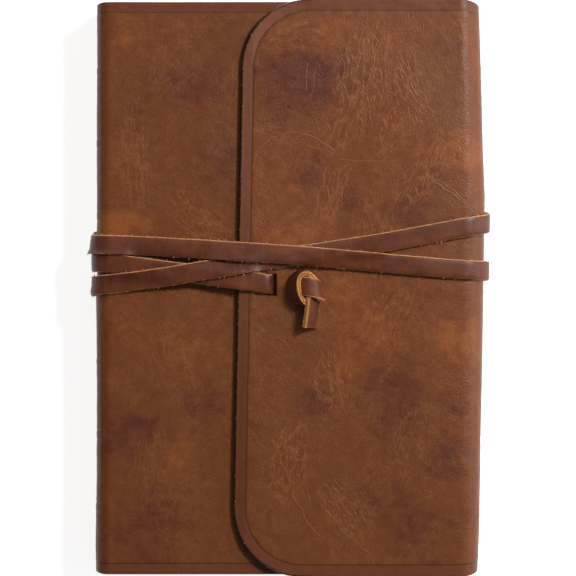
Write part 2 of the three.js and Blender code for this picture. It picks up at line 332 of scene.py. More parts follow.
def joined(name, pieces, materials, sharp=50):
    """One object from several (vertices, faces, kinds, marks), each of them a closed body."""
    vertices, faces, kinds, marks, start = [], [], [], [], 0
    for v, f, k, m in pieces:
        vertices.append(v)
        faces += [[i + start for i in face] for face in f]
        kinds += list(k)
        marks.append(m)
        start += len(v)
    obj = make_object(name, metres(np.concatenate(vertices)), faces, materials, kinds, sharp)
    bpy.context.view_layer.update()
    keep_place(obj, "sheet_mm", np.concatenate(marks))
    return obj


def outward(pieces):
    """The same pieces with their faces turned out, judged by each one's volume."""
    fixed = []
    for v, f, k, m in pieces:
        fixed.append((v, [face[::-1] for face in f] if signed_volume(v, f) < 0 else f, k, m))
    return fixed


def leather_sheet(name, s, y, faces, edge, depth, thickness, relief, materials, rim_round=0.45,
                  rim_bulge=0.14, put=place):
    """A closed sheet: an outer skin with its relief, an inner skin, and a rounded rim between them.
    s, y and edge are the patch's points: along the section, along the height, and in from the cut edge."""
    s, y, edge = (np.asarray(v, float) for v in (s, y, edge))
    rim_bulge = np.broadcast_to(rim_bulge, len(s))
    turned = 1 - np.sqrt(np.clip(1 - (1 - np.clip(edge / rim_round, 0, 1)) ** 2, 0, 1))
    corner = min(rim_round, thickness * 0.4)
    outer = put(s, y, depth - relief + corner * turned)
    inner = put(s, y, depth + thickness - 0.6 * corner * turned)
    count = len(s)
    vertices = [outer, inner]
    all_faces = [list(f) for f in faces] + [[i + count for i in reversed(f)] for f in faces]
    kinds = [0] * len(faces) + [1] * len(faces)
    total = 2 * count
    marks = [np.stack([s, y, np.zeros(count)], -1), np.stack([s, y, np.ones(count) * 9], -1)]
    edges = [edge, edge]
    for loop in edge_loops(faces):
        index = np.array(loop)
        around = outer[np.roll(index, -1)] - outer[np.roll(index, 1)]
        through = inner[index] - outer[index]
        away = np.cross(through, around)
        away /= np.linalg.norm(away, axis=1)[:, None] + 1e-9
        free = (edge[index] < 1e-6).astype(float)[:, None]
        rows = [index]
        for share, push in ((0.3, 1.0), (0.7, 0.9)):
            vertices.append(outer[index] + through * share + away * rim_bulge[index][:, None] * push * free)
            marks.append(np.stack([s[index], y[index], np.full(len(index), share * 9)], -1))
            edges.append(edge[index])
            rows.append(np.arange(total, total + len(index)))
            total += len(index)
        rows.append(index + count)
        for a, b in zip(rows, rows[1:]):
            for k in range(len(index)):
                n = (k + 1) % len(index)
                all_faces.append([a[n], a[k], b[k], b[n]])
                kinds.append(1)
    vertices = np.concatenate(vertices)
    if signed_volume(vertices, all_faces) < 0:
        all_faces = [face[::-1] for face in all_faces]
    obj = make_object(name, metres(vertices), all_faces, materials, kinds)
    keep_place(obj, "sheet_mm", np.concatenate(marks))
    keep_value(obj, "edge_mm", np.concatenate(edges))
    return obj


def steps_between(low, high, step):
    return np.linspace(low, high, max(2, int(round((high - low) / step)) + 1))


RIM = np.array([0, 0.12, 0.3, 0.55, 1.0, 1.7, 2.5, 3.2, 3.7, 4.0, 4.2, 4.4, 4.6, 4.85, 5.2, 5.7, 6.4])


def grid_patch(columns, margin, row_step, free_start):
    """A patch of rows and columns between the hide's two ends, margin millimetres inside them."""
    inner = steps_between(RIM[-1], 2 * HALF_HEIGHT - RIM[-1], row_step)[1:-1]
    share = (inner - RIM[-1]) / (2 * HALF_HEIGHT - 2 * RIM[-1])
    low, high = tail_y(columns) + margin, head_y(columns) - margin
    rows = [low + r for r in RIM]
    rows += [low + RIM[-1] + (high - low - 2 * RIM[-1]) * t for t in share]
    rows += [high - r for r in RIM[::-1]]
    y = np.array(rows)
    s = np.broadcast_to(columns, y.shape)
    edge = np.minimum(y - low, high - y)
    if free_start:
        edge = np.minimum(edge, s - columns[0])
    across, up = len(columns), len(rows)
    faces = []
    for j in range(up - 1):
        for i in range(across - 1):
            a = j * across + i
            faces.append([a, a + across, a + across + 1, a + 1])
    return s.ravel(), y.ravel(), faces, edge.ravel()


def flap_edge(s, y, margin):
    """How far a point of the flap is in from its outline, margin millimetres inside the leather's own."""
    x = FORE_FOLD_X - (s - S_FLAP)
    radius = FLAP_CORNER
    head = HALF_HEIGHT + HEAD_OVERHANG
    tail = HALF_HEIGHT + TAIL_OVERHANG
    side = x - flap_free_x(y)
    end = np.minimum(head - y, tail + y)
    inside = np.minimum(side, end)
    corner = (side < radius) & (end < radius)
    rounded = radius - np.hypot(radius - side, radius - end)
    return np.where(corner, rounded, inside) - margin


def flap_outline(inset, step):
    """The flap's outline, inset from its edge, from the fore-edge cut round the free edge and back."""
    head = HALF_HEIGHT + HEAD_OVERHANG - inset
    tail = -(HALF_HEIGHT + TAIL_OVERHANG - inset)
    radius = FLAP_CORNER - inset
    head_x = flap_free_x(head - radius) + inset + radius
    tail_x = flap_free_x(tail + radius) + inset + radius
    turns = max(6, int(radius * quarter / step))
    points = []
    for s in steps_between(S_FORE_MID, flap_s(head_x), step)[:-1]:
        points.append((s, head))
    for a in np.linspace(0, quarter, turns):
        x = head_x - radius * math.sin(a)
        points.append((flap_s(x), head - radius + radius * math.cos(a)))
    for y in steps_between(tail + radius, head - radius, step)[::-1][1:-1]:
        points.append((flap_s(flap_free_x(y)) - inset, y))
    for a in np.linspace(quarter, 0, turns):
        x = tail_x - radius * math.sin(a)
        points.append((flap_s(x), tail + radius - radius * math.cos(a)))
    for s in steps_between(S_FORE_MID, flap_s(tail_x), step)[::-1][1:]:
        points.append((s, tail))
    return points


def triangulate(points, edges, hole=None):
    """A patch of triangles inside a ring of edges, without those whose middle is in the hole."""
    out = delaunay_2d_cdt([Vector(p) for p in points], edges, [], 0, 1e-5)
    vertices, triangles = out[0], out[2]
    faces = []
    for triangle in triangles:
        middle = sum((vertices[i] for i in triangle), Vector((0, 0))) / 3
        if hole is None or not hole(middle.x, middle.y):
            faces.append(list(triangle))
    return np.array([tuple(v) for v in vertices]), faces


def hole_ring(s0, s1, y0, y1, start):
    """The points round a hole, each under a millimetre from the next, and the edges that join them."""
    corners = [(s0, y0), (s1, y0), (s1, y1), (s0, y1)]
    points = []
    for (ax, ay), (bx, by) in zip(corners, corners[1:] + corners[:1]):
        pieces = max(1, int(math.hypot(bx - ax, by - ay) / 0.8))
        points += [(ax + (bx - ax) * k / pieces, ay + (by - ay) * k / pieces) for k in range(pieces)]
    count = len(points)
    return points, [(start + k, start + (k + 1) % count) for k in range(count)]


def flap_patch(margin, rims, step, holes):
    """The flap and the upper half of the fore-edge wall: rings along the outline, then an even net."""
    rings = [flap_outline(margin + r, step) for r in rims]
    points, edges = [], []
    for ring in rings:
        start = len(points)
        points += ring
        edges += [(k, k + 1) for k in range(start, len(points) - 1)]
        if start == 0:
            last = len(points) - 1
    cut_rows = [ring[-1][1] for ring in rings]
    cut_rows += list(steps_between(rings[-1][-1][1], rings[-1][0][1], step)[1:-1])
    cut_rows += [ring[0][1] for ring in rings[::-1]]
    chain = [last]
    for y in cut_rows[1:-1]:
        points.append((S_FORE_MID, y))
        chain.append(len(points) - 1)
    chain.append(0)
    edges += list(zip(chain, chain[1:]))
    s_grid = np.arange(S_FORE_MID + step, S_FLAP + FORE_FOLD_X + 24, step)
    y_grid = np.arange(-HALF_HEIGHT, HALF_HEIGHT + 1, step)
    gs, gy = (g.ravel() for g in np.meshgrid(s_grid, y_grid))
    gs = gs + 0.25 * step * value_noise(gs * 1.7, gy * 1.3, 21)
    gy = gy + 0.25 * step * value_noise(gs * 1.9, gy * 1.1, 22)
    keep = flap_edge(gs, gy, margin) > rims[-1] + 0.7 * step
    spans = [(flap_s(x1), flap_s(x0), y0, y1) for x0, x1, y0, y1 in holes]
    for s0, s1, y0, y1 in spans:
        near = (gs > s0 - 0.6) & (gs < s1 + 0.6) & (gy > y0 - 0.6) & (gy < y1 + 0.6)
        keep &= ~near
        for grow in (0.5, 0.0):
            ring, ring_edges = hole_ring(s0 - grow, s1 + grow, y0 - grow, y1 + grow, len(points))
            points += ring
            edges += ring_edges

    def hole(s, y):
        return any(s0 < s < s1 and y0 < y < y1 for s0, s1, y0, y1 in spans)

    points += list(zip(gs[keep], gy[keep]))
    net, faces = triangulate(points, edges, hole)
    edge = flap_edge(net[:, 0], net[:, 1], margin)
    for s0, s1, y0, y1 in spans:
        inside = (np.abs(net[:, 0] - (s0 + s1) / 2) < (s1 - s0) / 2 + 1e-3) & (
            np.abs(net[:, 1] - (y0 + y1) / 2) < (y1 - y0) / 2 + 1e-3)
        edge = np.where(inside, 0, edge)
    edge = np.where(edge < 1e-3, 0, edge)
    cut = net[:, 0] < S_FORE_MID + 1e-6
    edge = np.where(cut & (edge > 0), np.maximum(edge, 0.01), edge)
    a, b, c = (net[i] for i in faces[0])
    if (b[0] - a[0]) * (c[1] - a[1]) - (b[1] - a[1]) * (c[0] - a[0]) > 0:
        faces = [f[::-1] for f in faces]
    s, y = net[:, 0], net[:, 1]
    full = HALF_HEIGHT + HEAD_OVERHANG
    y = y * np.where(y > 0, head_y(s) / full, -tail_y(s) / (HALF_HEIGHT + TAIL_OVERHANG))
    return s, y, faces, edge


# ---------------------------------------------------------------- the hide's relief
BANDS = 7
BAND_PITCH = 28.6
BAND_WIDTH = 3.6


def from_bands(y):
    """How far the heights are from the middle of each spine band."""
    return [np.abs(y - (i - (BANDS - 1) / 2) * BAND_PITCH) for i in range(BANDS)]


def hide_relief(s, y, edge):
    """The border crease, the flat band outside it, and the raised bands on the spine."""
    inset = crease_inset(s)
    crease = -0.07 * np.exp(-(((edge - inset) / 0.35) ** 2))
    band = -0.07 * smooth((inset - edge) / 0.6 + 0.5)
    spine = bump(s, S_SPINE_MID, 15.5) ** 0.5
    ribs = 0
    for off in from_bands(y):
        ribs = ribs + 0.1 * smooth((BAND_WIDTH / 2 + 0.3 - off) / 0.9)
        ribs = ribs - 0.22 * np.exp(-(((off - BAND_WIDTH / 2 + 0.1) / 0.5) ** 2))
    return crease + band + ribs * spine


def fine_relief(s, y):
    return 0.05 * value_noise(s / 2.6, y / 2.6, 31) + 0.03 * value_noise(s / 1.3, y / 1.3, 32)


# ---------------------------------------------------------------- materials
class Paint:
    """A procedural material that is built up call by call."""

    def __init__(self, name):
        self.material = bpy.data.materials.new(name)
        self.material.use_nodes = True
        self.tree = self.material.node_tree
        self.shader = self.tree.nodes["Principled BSDF"]

    def node(self, kind, values=(), **settings):
        made = self.tree.nodes.new(kind)
        for key, value in settings.items():
            setattr(made, key, value)
        for key, value in dict(values).items():
            self.plug(value, made.inputs[key])
        return made

    def plug(self, value, socket):
        if isinstance(value, bpy.types.NodeSocket):
            self.tree.links.new(value, socket)
        else:
            socket.default_value = value

    def attribute(self, name, output="Vector"):
        return self.node("ShaderNodeAttribute", attribute_name=name).outputs[output]

    def parts(self, vector):
        return self.node("ShaderNodeSeparateXYZ", {0: vector}).outputs

    def math(self, operation, a, b=0.5):
        return self.node("ShaderNodeMath", {0: a, 1: b}, operation=operation).outputs[0]

    def times(self, a, b):
        return self.math("MULTIPLY", a, b)

    def plus(self, a, b):
        return self.math("ADD", a, b)

    def minus(self, a, b):
        return self.math("SUBTRACT", a, b)

    def highest(self, a, b):
        return self.math("MAXIMUM", a, b)

    def size(self, a):
        return self.math("ABSOLUTE", a)

    def mapped(self, vector, scale, turn=0.0):
        values = {"Vector": vector, "Rotation": (0, 0, turn), "Scale": scale}
        return self.node("ShaderNodeMapping", values).outputs[0]

    def noise(self, vector, scale, detail, roughness=0.5, distortion=0.0, output=0):
        values = {"Vector": vector, "Scale": scale, "Detail": detail, "Roughness": roughness,
                  "Distortion": distortion}
        return self.node("ShaderNodeTexNoise", values).outputs[output]

    def cells(self, vector, scale):
        values = {"Vector": vector, "Scale": scale}
        return self.node("ShaderNodeTexVoronoi", values, feature="DISTANCE_TO_EDGE").outputs["Distance"]

    def remap(self, value, low, high, to_low=0.0, to_high=1.0, curve="SMOOTHSTEP"):
        values = {0: value, 1: low, 2: high, 3: to_low, 4: to_high}
        return self.node("ShaderNodeMapRange", values, interpolation_type=curve).outputs[0]

    def mix(self, share, a, b):
        made = self.node("ShaderNodeMix", data_type="RGBA")
        self.plug(share, made.inputs[0])
        self.plug(a, made.inputs[6])
        self.plug(b, made.inputs[7])
        return made.outputs[2]

    def bump(self, height, distance):
        values = {"Height": height, "Distance": distance, "Strength": 1.0}
        return self.node("ShaderNodeBump", values).outputs[0]

    def vector(self, operation, a, b):
        return self.node("ShaderNodeVectorMath", {0: a, 1: b}, operation=operation).outputs["Vector"]

    def wander(self, vector, scale, reach):
        """The same place, moved up to about reach each way by a smooth noise."""
        drift = self.vector("SUBTRACT", self.noise(vector, scale, 2, output=1), (0.5, 0.5, 0.5))
        return self.vector("ADD", vector, self.vector("MULTIPLY", drift, (2 * reach, 2 * reach, 0)))

    def seen_from(self, vector, s, y, turn):
        """The place seen from a point, with its first number along a direction and its second across it."""
        values = {"Vector": vector, "Location": (s, y, 0), "Rotation": (0, 0, turn)}
        return self.node("ShaderNodeMapping", values, vector_type="TEXTURE").outputs[0]

    def veins(self, vector, scale, width, detail, distortion):
        """Thin lines where a noise passes through its middle value: 1 on the line, 0 away from it."""
        level = self.noise(vector, scale, detail, 0.55, distortion)
        away = self.size(self.minus(level, 0.5))
        return self.remap(away, width, 0.0)

    def finish(self, **sockets):
        names = {"color": "Base Color", "roughness": "Roughness", "normal": "Normal",
                 "specular": "Specular IOR Level", "sheen": "Sheen Weight",
                 "sheen_roughness": "Sheen Roughness"}
        for key, value in sockets.items():
            self.plug(value, self.shader.inputs[names[key]])
        return self.material


def colour(r, g, b):
    """An sRGB colour given in 0 to 255, as linear light."""
    def line(v):
        v /= 255
        return v / 12.92 if v <= 0.04045 else ((v + 0.055) / 1.055) ** 2.4
    return (line(r), line(g), line(b), 1.0)


# Where the dye lies darker or lighter on the front: x, y, reach and strength (dark above 0, light below)
BLOTCHES = [
    (1, 79, 15, 1.0), (12, 84, 9, 0.5), (7, 46, 8, 0.9), (24, 35, 9, 0.6), (50, 36, 13, 0.75),
    (62, 94, 8, 0.5), (-36, 77, 13, 0.65), (-27, 50, 12, 0.55), (-60, 64, 9, 0.35),
    (-52, -92, 20, 0.55), (-62, -58, 14, 0.6),
    (-32, -46, 13, 0.6), (-30, -88, 13, 0.35), (40, -42, 16, 0.7), (48, -28, 11, 0.5), (6, -44, 10, 0.6),
    (28, -82, 15, 0.4), (50, -92, 13, 0.6), (61, -66, 10, 0.7), (68, -44, 8, 0.6), (44, -4, 12, 0.3),
    (66, 52, 13, -0.9), (20, 100, 14, -0.5), (-66, 26, 11, -0.8), (-55, 8, 10, -0.4), (22, -8, 16, -0.7),
    (-64, 96, 9, -0.4), (22, -30, 11, -0.7), (2, 16, 14, -0.4), (66, -18, 12, -0.8), (56, -84, 9, -0.7),
    (32, -72, 9, -0.4), (-66, -34, 9, -0.5), (-44, -66, 10, -0.5), (-70, 44, 9, -0.5), (40, 88, 15, -0.4),
]
BACK_BLOTCHES = 26
# Bundles of long wrinkles on the front: x, y, angle of the lines, length, width, bow, strength
BUNDLES = [
    (31, 82, 84, 34, 17, 1.5, 1.0), (21, 63, 70, 18, 9, 1, 0.9), (17, 37, 73, 19, 8, 0, 1.0),
    (48, 46, 56, 27, 10, -4, 1.0), (4, 99, 8, 22, 9, 1, 0.8), (49, 77, 106, 24, 11, 2, 0.9),
    (-2, 64, 168, 16, 6, 4, 0.7), (40, 62, 74, 18, 10, 0, 0.9), (34, 25, 84, 22, 14, 0, 0.7),
    (42, -14, 60, 26, 16, 3, 0.7), (18, -36, 98, 20, 12, 2, 0.8), (4, -68, 80, 26, 13, 5, 0.95),
    (21, -88, 124, 20, 12, -2, 0.9), (48, -60, 72, 26, 12, 0, 0.6), (-34, 30, 136, 26, 12, 3, 0.8),
    (-60, 52, 92, 34, 9, 1, 0.8), (-44, -30, 112, 24, 14, 2, 0.6), (-52, -70, 84, 26, 12, 2, 0.6),
    (-46, 88, 60, 20, 12, 1, 0.55), (-24, 8, 104, 26, 10, 2, 0.6), (4, 22, 30, 18, 12, 2, 0.5),
]
BUNDLE_PITCH = 21.0
# Single wrinkles: x, y, angle, half length, how far the middle bows to the left, strength
WRINKLES = [
    (31, 50.4, -2, 14, -0.8, 0.8), (10.4, 57.2, 153, 9.2, -1.6, 1.0), (-4.7, 57.6, 205, 8.6, -1.9, 0.9),
    (-13.4, 45.5, 264, 9.5, -1.2, 0.7), (12.2, 54.0, 165, 7, -1.0, 0.7), (4.4, 49.4, 245, 6.2, -1.6, 0.6),
    (60.2, 38.4, -37, 10.5, 0.5, 1.0), (62.4, 38.2, -41, 8, 0.6, 0.6), (7.2, 83, 88, 6.5, 0.5, 0.9),
    (9.2, 80.5, 84, 6.0, -0.5, 0.8), (24.0, 61, 66, 10, 1.0, 0.9), (28.6, 66, 80, 12, -0.9, 0.7),
    (12.6, 38, 76, 13, 0.7, 0.9), (17.2, 37, 74, 13.5, -0.5, 1.0), (21.2, 38, 69, 12.5, 0.6, 0.9),
    (7, -88, 118, 12, 1.6, 0.9), (20, -92, 134, 13, 0.8, 0.9), (30, -102, 128, 9, 0.4, 0.7),
    (1.5, -72, 96, 12, 2.0, 0.8), (8.0, -74, 98, 11, 2.0, 0.6), (30, -12, 78, 9, 0.8, 0.5),
]


def front_s(x):
    """The length along the hide for a place on the closed front."""
    return flap_s(x) if x > FLAP_EDGE_HEAD_X else FRONT_EDGE_X - x


def all_bundles():
    """The bundles on the front, then weaker ones all over the hide, as lengths and heights on the hide."""
    made = [(front_s(x), y, 180 - a, length, width, -bow, strength)
            for x, y, a, length, width, bow, strength in BUNDLES]
    rng = np.random.RandomState(7)
    for at_s in np.arange(8, hide_line.length[-1] + 12, BUNDLE_PITCH):
        for at_y in np.arange(-HALF_HEIGHT + 6, HALF_HEIGHT, BUNDLE_PITCH):
            s, y = at_s + rng.uniform(-7, 7), at_y + rng.uniform(-7, 7)
            angle = 90 + 70 * float(value_noise(s / 45, y / 45, 15)) + rng.uniform(-15, 15)
            made.append((s, y, angle, rng.uniform(14, 26), rng.uniform(8, 13), rng.uniform(-4, 4),
                         rng.uniform(0.2, 0.5)))
    return made


def sheet_places(obj):
    """Where a sheet's points lie along the section and along the height."""
    values = np.zeros(len(obj.data.vertices) * 3, np.float32)
    obj.data.attributes["sheet_mm"].data.foreach_get("vector", values)
    return values.reshape(-1, 3)[:, :2].T.astype(float)


def keep_bundles(obj):
    """Store on a hide piece's points their place in the strongest bundle of wrinkles there."""
    s, y = sheet_places(obj)
    best, second = np.zeros(len(s)), np.zeros(len(s))
    local = np.zeros((len(s), 3))
    for k, (at_s, at_y, angle, length, width, bow, strength) in enumerate(all_bundles()):
        turn = math.radians(angle)
        u = (s - at_s) * math.cos(turn) + (y - at_y) * math.sin(turn)
        v = (y - at_y) * math.cos(turn) - (s - at_s) * math.sin(turn)
        v = v - bow * (1 - (u / length) ** 2)
        share = strength * smooth((1 - np.hypot(u / length, v / width)) / 0.6)
        ahead = share > best
        second = np.where(ahead, best, np.maximum(second, share))
        best = np.where(ahead, share, best)
        local[ahead] = np.stack([u, v, np.full(len(s), 3.0 * k)], -1)[ahead]
    keep_place(obj, "bundle_mm", local)
    keep_value(obj, "bundle_share", best * smooth((best - second) / 0.16))


def keep_dye(obj):
    """Store on a hide piece's points how light the dye is: the front's blotches, and softer ones behind."""
    s, y = sheet_places(obj)
    x_warp, y_warp = 5 * value_noise(s / 11, y / 11, 51), 5 * value_noise(s / 11, y / 11, 52)
    dye = 0.13 * value_noise(s / 21, y / 21, 53) + 0.07 * value_noise(s / 9, y / 9, 54)
    for x, at_y, reach, strength in BLOTCHES:
        away = np.hypot(s + x_warp - front_s(x), y + y_warp - at_y)
        dye = dye - 0.38 * strength * smooth((reach * 1.3 - away) / (reach * 1.1))
    for k in range(BACK_BLOTCHES):
        rng = np.random.RandomState(200 + k)
        at_s, at_y = rng.uniform(S_SPINE_MID, S_FORE_MID), rng.uniform(-HALF_HEIGHT, HALF_HEIGHT)
        away = np.hypot(s + x_warp - at_s, y + y_warp - at_y)
        dye = dye - rng.uniform(-0.25, 0.35) * smooth((rng.uniform(10, 24) - away) / 14)
    keep_value(obj, "dye", dye)


def leather_wrinkles(p, place_mm, wavy):
    """Where wrinkles wear the leather light (a weak net, bundles and single lines) and where it is pitted."""
    cell_edge = p.cells(wavy, 0.27)
    gate = p.remap(p.noise(place_mm, 0.05, 2), 0.42, 0.62, 0.06, 0.34)
    wrinkles = p.times(p.remap(cell_edge, 0.1, 0.0), gate)
    fine_net = p.veins(p.mapped(wavy, (0.6, 1.0, 1), 0.3), 0.42, 0.035, 2, 0.5)
    wrinkles = p.highest(wrinkles, p.times(fine_net, gate))
    inside = p.attribute("bundle_share", "Fac")
    crinkled = p.mapped(p.wander(p.attribute("bundle_mm"), 0.2, 1.2), scale=(0.1, 0.36, 1))
    between = p.cells(crinkled, 1.0)
    lines = p.highest(p.remap(between, 0.11, 0.0, 0.0, 0.8), p.veins(crinkled, 0.8, 0.05, 1.5, 0.3))
    wrinkles = p.highest(wrinkles, p.times(lines, inside))
    pits = p.highest(p.times(p.remap(cell_edge, 0.25, 0.5), 0.25),
                     p.times(p.remap(between, 0.2, 0.5), inside))
    worn = p.times(wrinkles, p.remap(p.noise(place_mm, 0.45, 2), 0.34, 0.62, 0.3, 0.95))
    for x, y, angle, half, bow, strength in WRINKLES:
        ahead, aside, _ = p.parts(p.seen_from(wavy, front_s(x), y, math.radians(180 - angle)))
        share = p.times(ahead, 1 / half)
        square = p.times(share, share)
        off = p.plus(aside, p.times(p.minus(1.0, square), bow))
        single = p.remap(p.size(off), 0.46, 0.05, 0.0, 0.72 * strength)
        worn = p.highest(worn, p.times(single, p.remap(square, 1.0, 0.5)))
    return worn, pits


def leather_border(p, along_s, up_y, edge):
    """The smooth border band, the line where it is creased, and the nicks beside the spine bands, which are
    grooves with painted shade in them.
    """
    line_at = p.remap(along_s, S_SPINE_TOP, S_BACK, *CREASE_INSETS, "LINEAR")
    from_line = p.minus(edge, line_at)
    border = p.remap(from_line, 0.2, -0.2)
    crease = p.remap(p.size(from_line), 0.65, 0.1, 0.0, 0.68)
    from_band = p.math("PINGPONG", up_y, BAND_PITCH / 2)
    nick_and_shade = p.remap(p.size(p.minus(from_band, BAND_WIDTH / 2)), 0.6, 0.15)
    nick_and_shade = p.times(nick_and_shade, p.remap(p.size(p.minus(along_s, S_SPINE_MID)), 12.5, 10))
    return border, crease, nick_and_shade


def leather_paint(name, dark, middle, light, line):
    """Pull-up leather: cloudy dye, crinkled light wrinkles, and a smooth dark band along its cut edges. It
    also carries painted light: a painted sheen on that band on the flap's free side, a painted shadow along
    the flap's free edge, and painted shade in the nicks beside the spine bands.
    """
    p = Paint(name)
    place_mm = p.attribute("sheet_mm")
    edge = p.attribute("edge_mm", "Fac")
    along_s, up_y, _ = p.parts(place_mm)
    wavy = p.wander(place_mm, 0.16, 1.8)
    mottle = p.noise(place_mm, 0.2, 4, 0.58, 0.3)
    grain = p.noise(place_mm, 0.95, 3, 0.6)
    tone = p.plus(p.attribute("dye", "Fac"), p.times(p.minus(mottle, 0.5), 0.7))
    tone = p.plus(tone, p.times(p.minus(grain, 0.5), 0.25))
    worn, pits = leather_wrinkles(p, place_mm, wavy)
    pores = p.remap(p.cells(place_mm, 0.85), 0.0, 0.3)
    border, crease, nick_and_shade = leather_border(p, along_s, up_y, edge)
    calm = p.minus(1.0, p.times(border, 0.9))
    worn = p.times(worn, calm)

    base = p.mix(p.remap(tone, -0.5, 0.0), dark, middle)
    base = p.mix(p.remap(tone, 0.0, 0.5), base, light)
    base = p.mix(p.times(p.times(pits, calm), 0.3), base, dark)
    base = p.mix(p.times(worn, 0.44), base, line)
    base = p.mix(p.times(p.minus(1.0, pores), 0.09), base, dark)
    # Painted sheen: on the flap's free side the border band is painted lighter and pinker, more so towards
    # the head.
    painted_sheen_side = p.remap(along_s, S_FLAP + 60, S_FLAP + 80)
    band = p.mix(p.times(painted_sheen_side, p.remap(up_y, -60, 90)), colour(98, 53, 36), colour(120, 77, 64))
    base = p.mix(p.times(border, 0.65), base, band)
    # Darker along the crease line; in the nicks beside the spine bands this darkening is painted shade.
    base = p.mix(p.times(p.highest(crease, nick_and_shade), 0.62), base, colour(48, 22, 14))
    # Painted shadow: a near-black line along the flap's free edge, where its rim stands in its own shadow.
    # The tan flecks on it are loose fibres.
    painted_edge_shadow = p.times(p.remap(edge, 0.8, 0.4), p.remap(along_s, S_FLAP + 55, S_FLAP + 62, 0.0, 0.85))
    base = p.mix(painted_edge_shadow, base, colour(20, 9, 6))
    flecks = p.times(p.remap(p.noise(place_mm, 1.1, 2), 0.6, 0.68), p.times(painted_edge_shadow, 0.75))
    base = p.mix(flecks, base, colour(186, 126, 66))

    height = p.plus(p.times(p.times(pores, calm), 0.14), p.times(worn, 0.36))
    height = p.plus(height, p.times(grain, 0.3))
    height = p.plus(height, p.times(mottle, 0.5))
    height = p.minus(height, p.times(nick_and_shade, 1.2))
    rough = p.remap(p.plus(p.times(mottle, 0.6), p.times(grain, 0.4)), 0.3, 0.7, 0.36, 0.5)
    rough = p.minus(rough, p.times(border, 0.04))
    return p.finish(color=base, roughness=rough, normal=p.bump(height, 0.0002), specular=0.27)


def suede_paint(name, dark, light, scale=1.0):
    """A raw, fibrous surface: cut edges, the flesh side and linings."""
    p = Paint(name)
    at = p.attribute("sheet_mm")
    coarse = p.noise(at, 0.35 * scale, 4, 0.6)
    fine = p.noise(at, 3.2 * scale, 4, 0.7)
    hairs = p.noise(p.mapped(at, scale=(0.7, 3.0, 1)), 1.6 * scale, 3, 0.7, 0.8)
    tone = p.plus(p.times(coarse, 0.35), p.times(fine, 0.65))
    base = p.mix(p.remap(tone, 0.32, 0.68), dark, light)
    base = p.mix(p.remap(hairs, 0.55, 0.75, 0.0, 0.35), base, light)
    height = p.plus(p.times(fine, 0.8), p.times(hairs, 0.7))
    return p.finish(color=base, roughness=0.92, normal=p.bump(height, 0.00025), specular=0.15,
                    sheen=0.3, sheen_roughness=0.5)


def strap_paint(name, dark, light):
    """The thong's smooth face: an even dark dye with soft clouds, fine grain and rubbed patches."""
    p = Paint(name)
    at = p.mapped(p.attribute("sheet_mm"), scale=(1, 1, 0))
    cloud = p.noise(p.mapped(at, scale=(0.05, 0.1, 1)), 1.0, 3, 0.55)
    grain = p.noise(at, 1.1, 4, 0.6)
    marks = p.noise(p.mapped(at, scale=(0.5, 0.16, 1)), 1.0, 3, 0.6, 0.4)
    tone = p.plus(p.times(cloud, 0.6), p.times(marks, 0.2))
    tone = p.plus(tone, p.times(grain, 0.2))
    base = p.mix(p.remap(tone, 0.36, 0.66), dark, light)
    base = p.mix(p.remap(marks, 0.58, 0.72, 0.0, 0.2), base, colour(126, 68, 36))
    height = p.plus(p.times(grain, 0.4), p.times(marks, 0.3))
    rough = p.remap(tone, 0.3, 0.7, 0.38, 0.5)
    return p.finish(color=base, roughness=rough, normal=p.bump(height, 0.00014), specular=0.3)


def raw_paint(name, core, dark, light):
    """The thong's cut edge: pale fibres at both borders and a darker core between them."""
    p = Paint(name)
    at = p.attribute("sheet_mm")
    depth = p.parts(at)[2]
    fine = p.noise(p.mapped(at, scale=(1, 1, 2)), 2.4, 4, 0.7)
    coarse = p.noise(p.mapped(at, scale=(1, 0, 1)), 0.7, 3, 0.6)
    ragged = p.plus(p.size(depth), p.times(p.minus(fine, 0.5), 0.5))
    base = p.mix(p.remap(p.plus(p.times(fine, 0.6), p.times(coarse, 0.4)), 0.36, 0.62), dark, light)
    base = p.mix(p.remap(ragged, 0.42, 0.12, 0.0, 0.75), base, core)
    return p.finish(color=base, roughness=0.9, normal=p.bump(fine, 0.00025), specular=0.15, sheen=0.25,
                    sheen_roughness=0.5)


def hide_edge_paint():
    """The hide's cut edge, dyed dark and painted darker still as painted shade, so that the flap's free edge
    merges with its shadow; but for the flap's head, where the pale raw edge shows.
    """
    p = Paint("hide_edge")
    at = p.attribute("sheet_mm")
    along_s, up_y, _ = p.parts(at)
    coarse = p.noise(at, 0.5, 4, 0.6)
    fine = p.noise(at, 2.6, 4, 0.7)
    tone = p.plus(p.times(coarse, 0.4), p.times(fine, 0.6))
    # Near-black: the edge dye, made darker as painted shade.
    base = p.mix(p.remap(tone, 0.35, 0.65), colour(14, 7, 4), colour(36, 18, 10))
    pale = p.times(p.remap(up_y, HEAD_RIM_Y, HEAD_RIM_Y + 3), p.remap(along_s, S_FLAP - 2, S_FLAP + 2))
    pale = p.times(pale, p.remap(p.noise(at, 0.25, 3), 0.3, 0.5, 0.55, 0.95))
    base = p.mix(pale, base, colour(214, 158, 126))
    return p.finish(color=base, roughness=0.9, normal=p.bump(fine, 0.0002), specular=0.12)


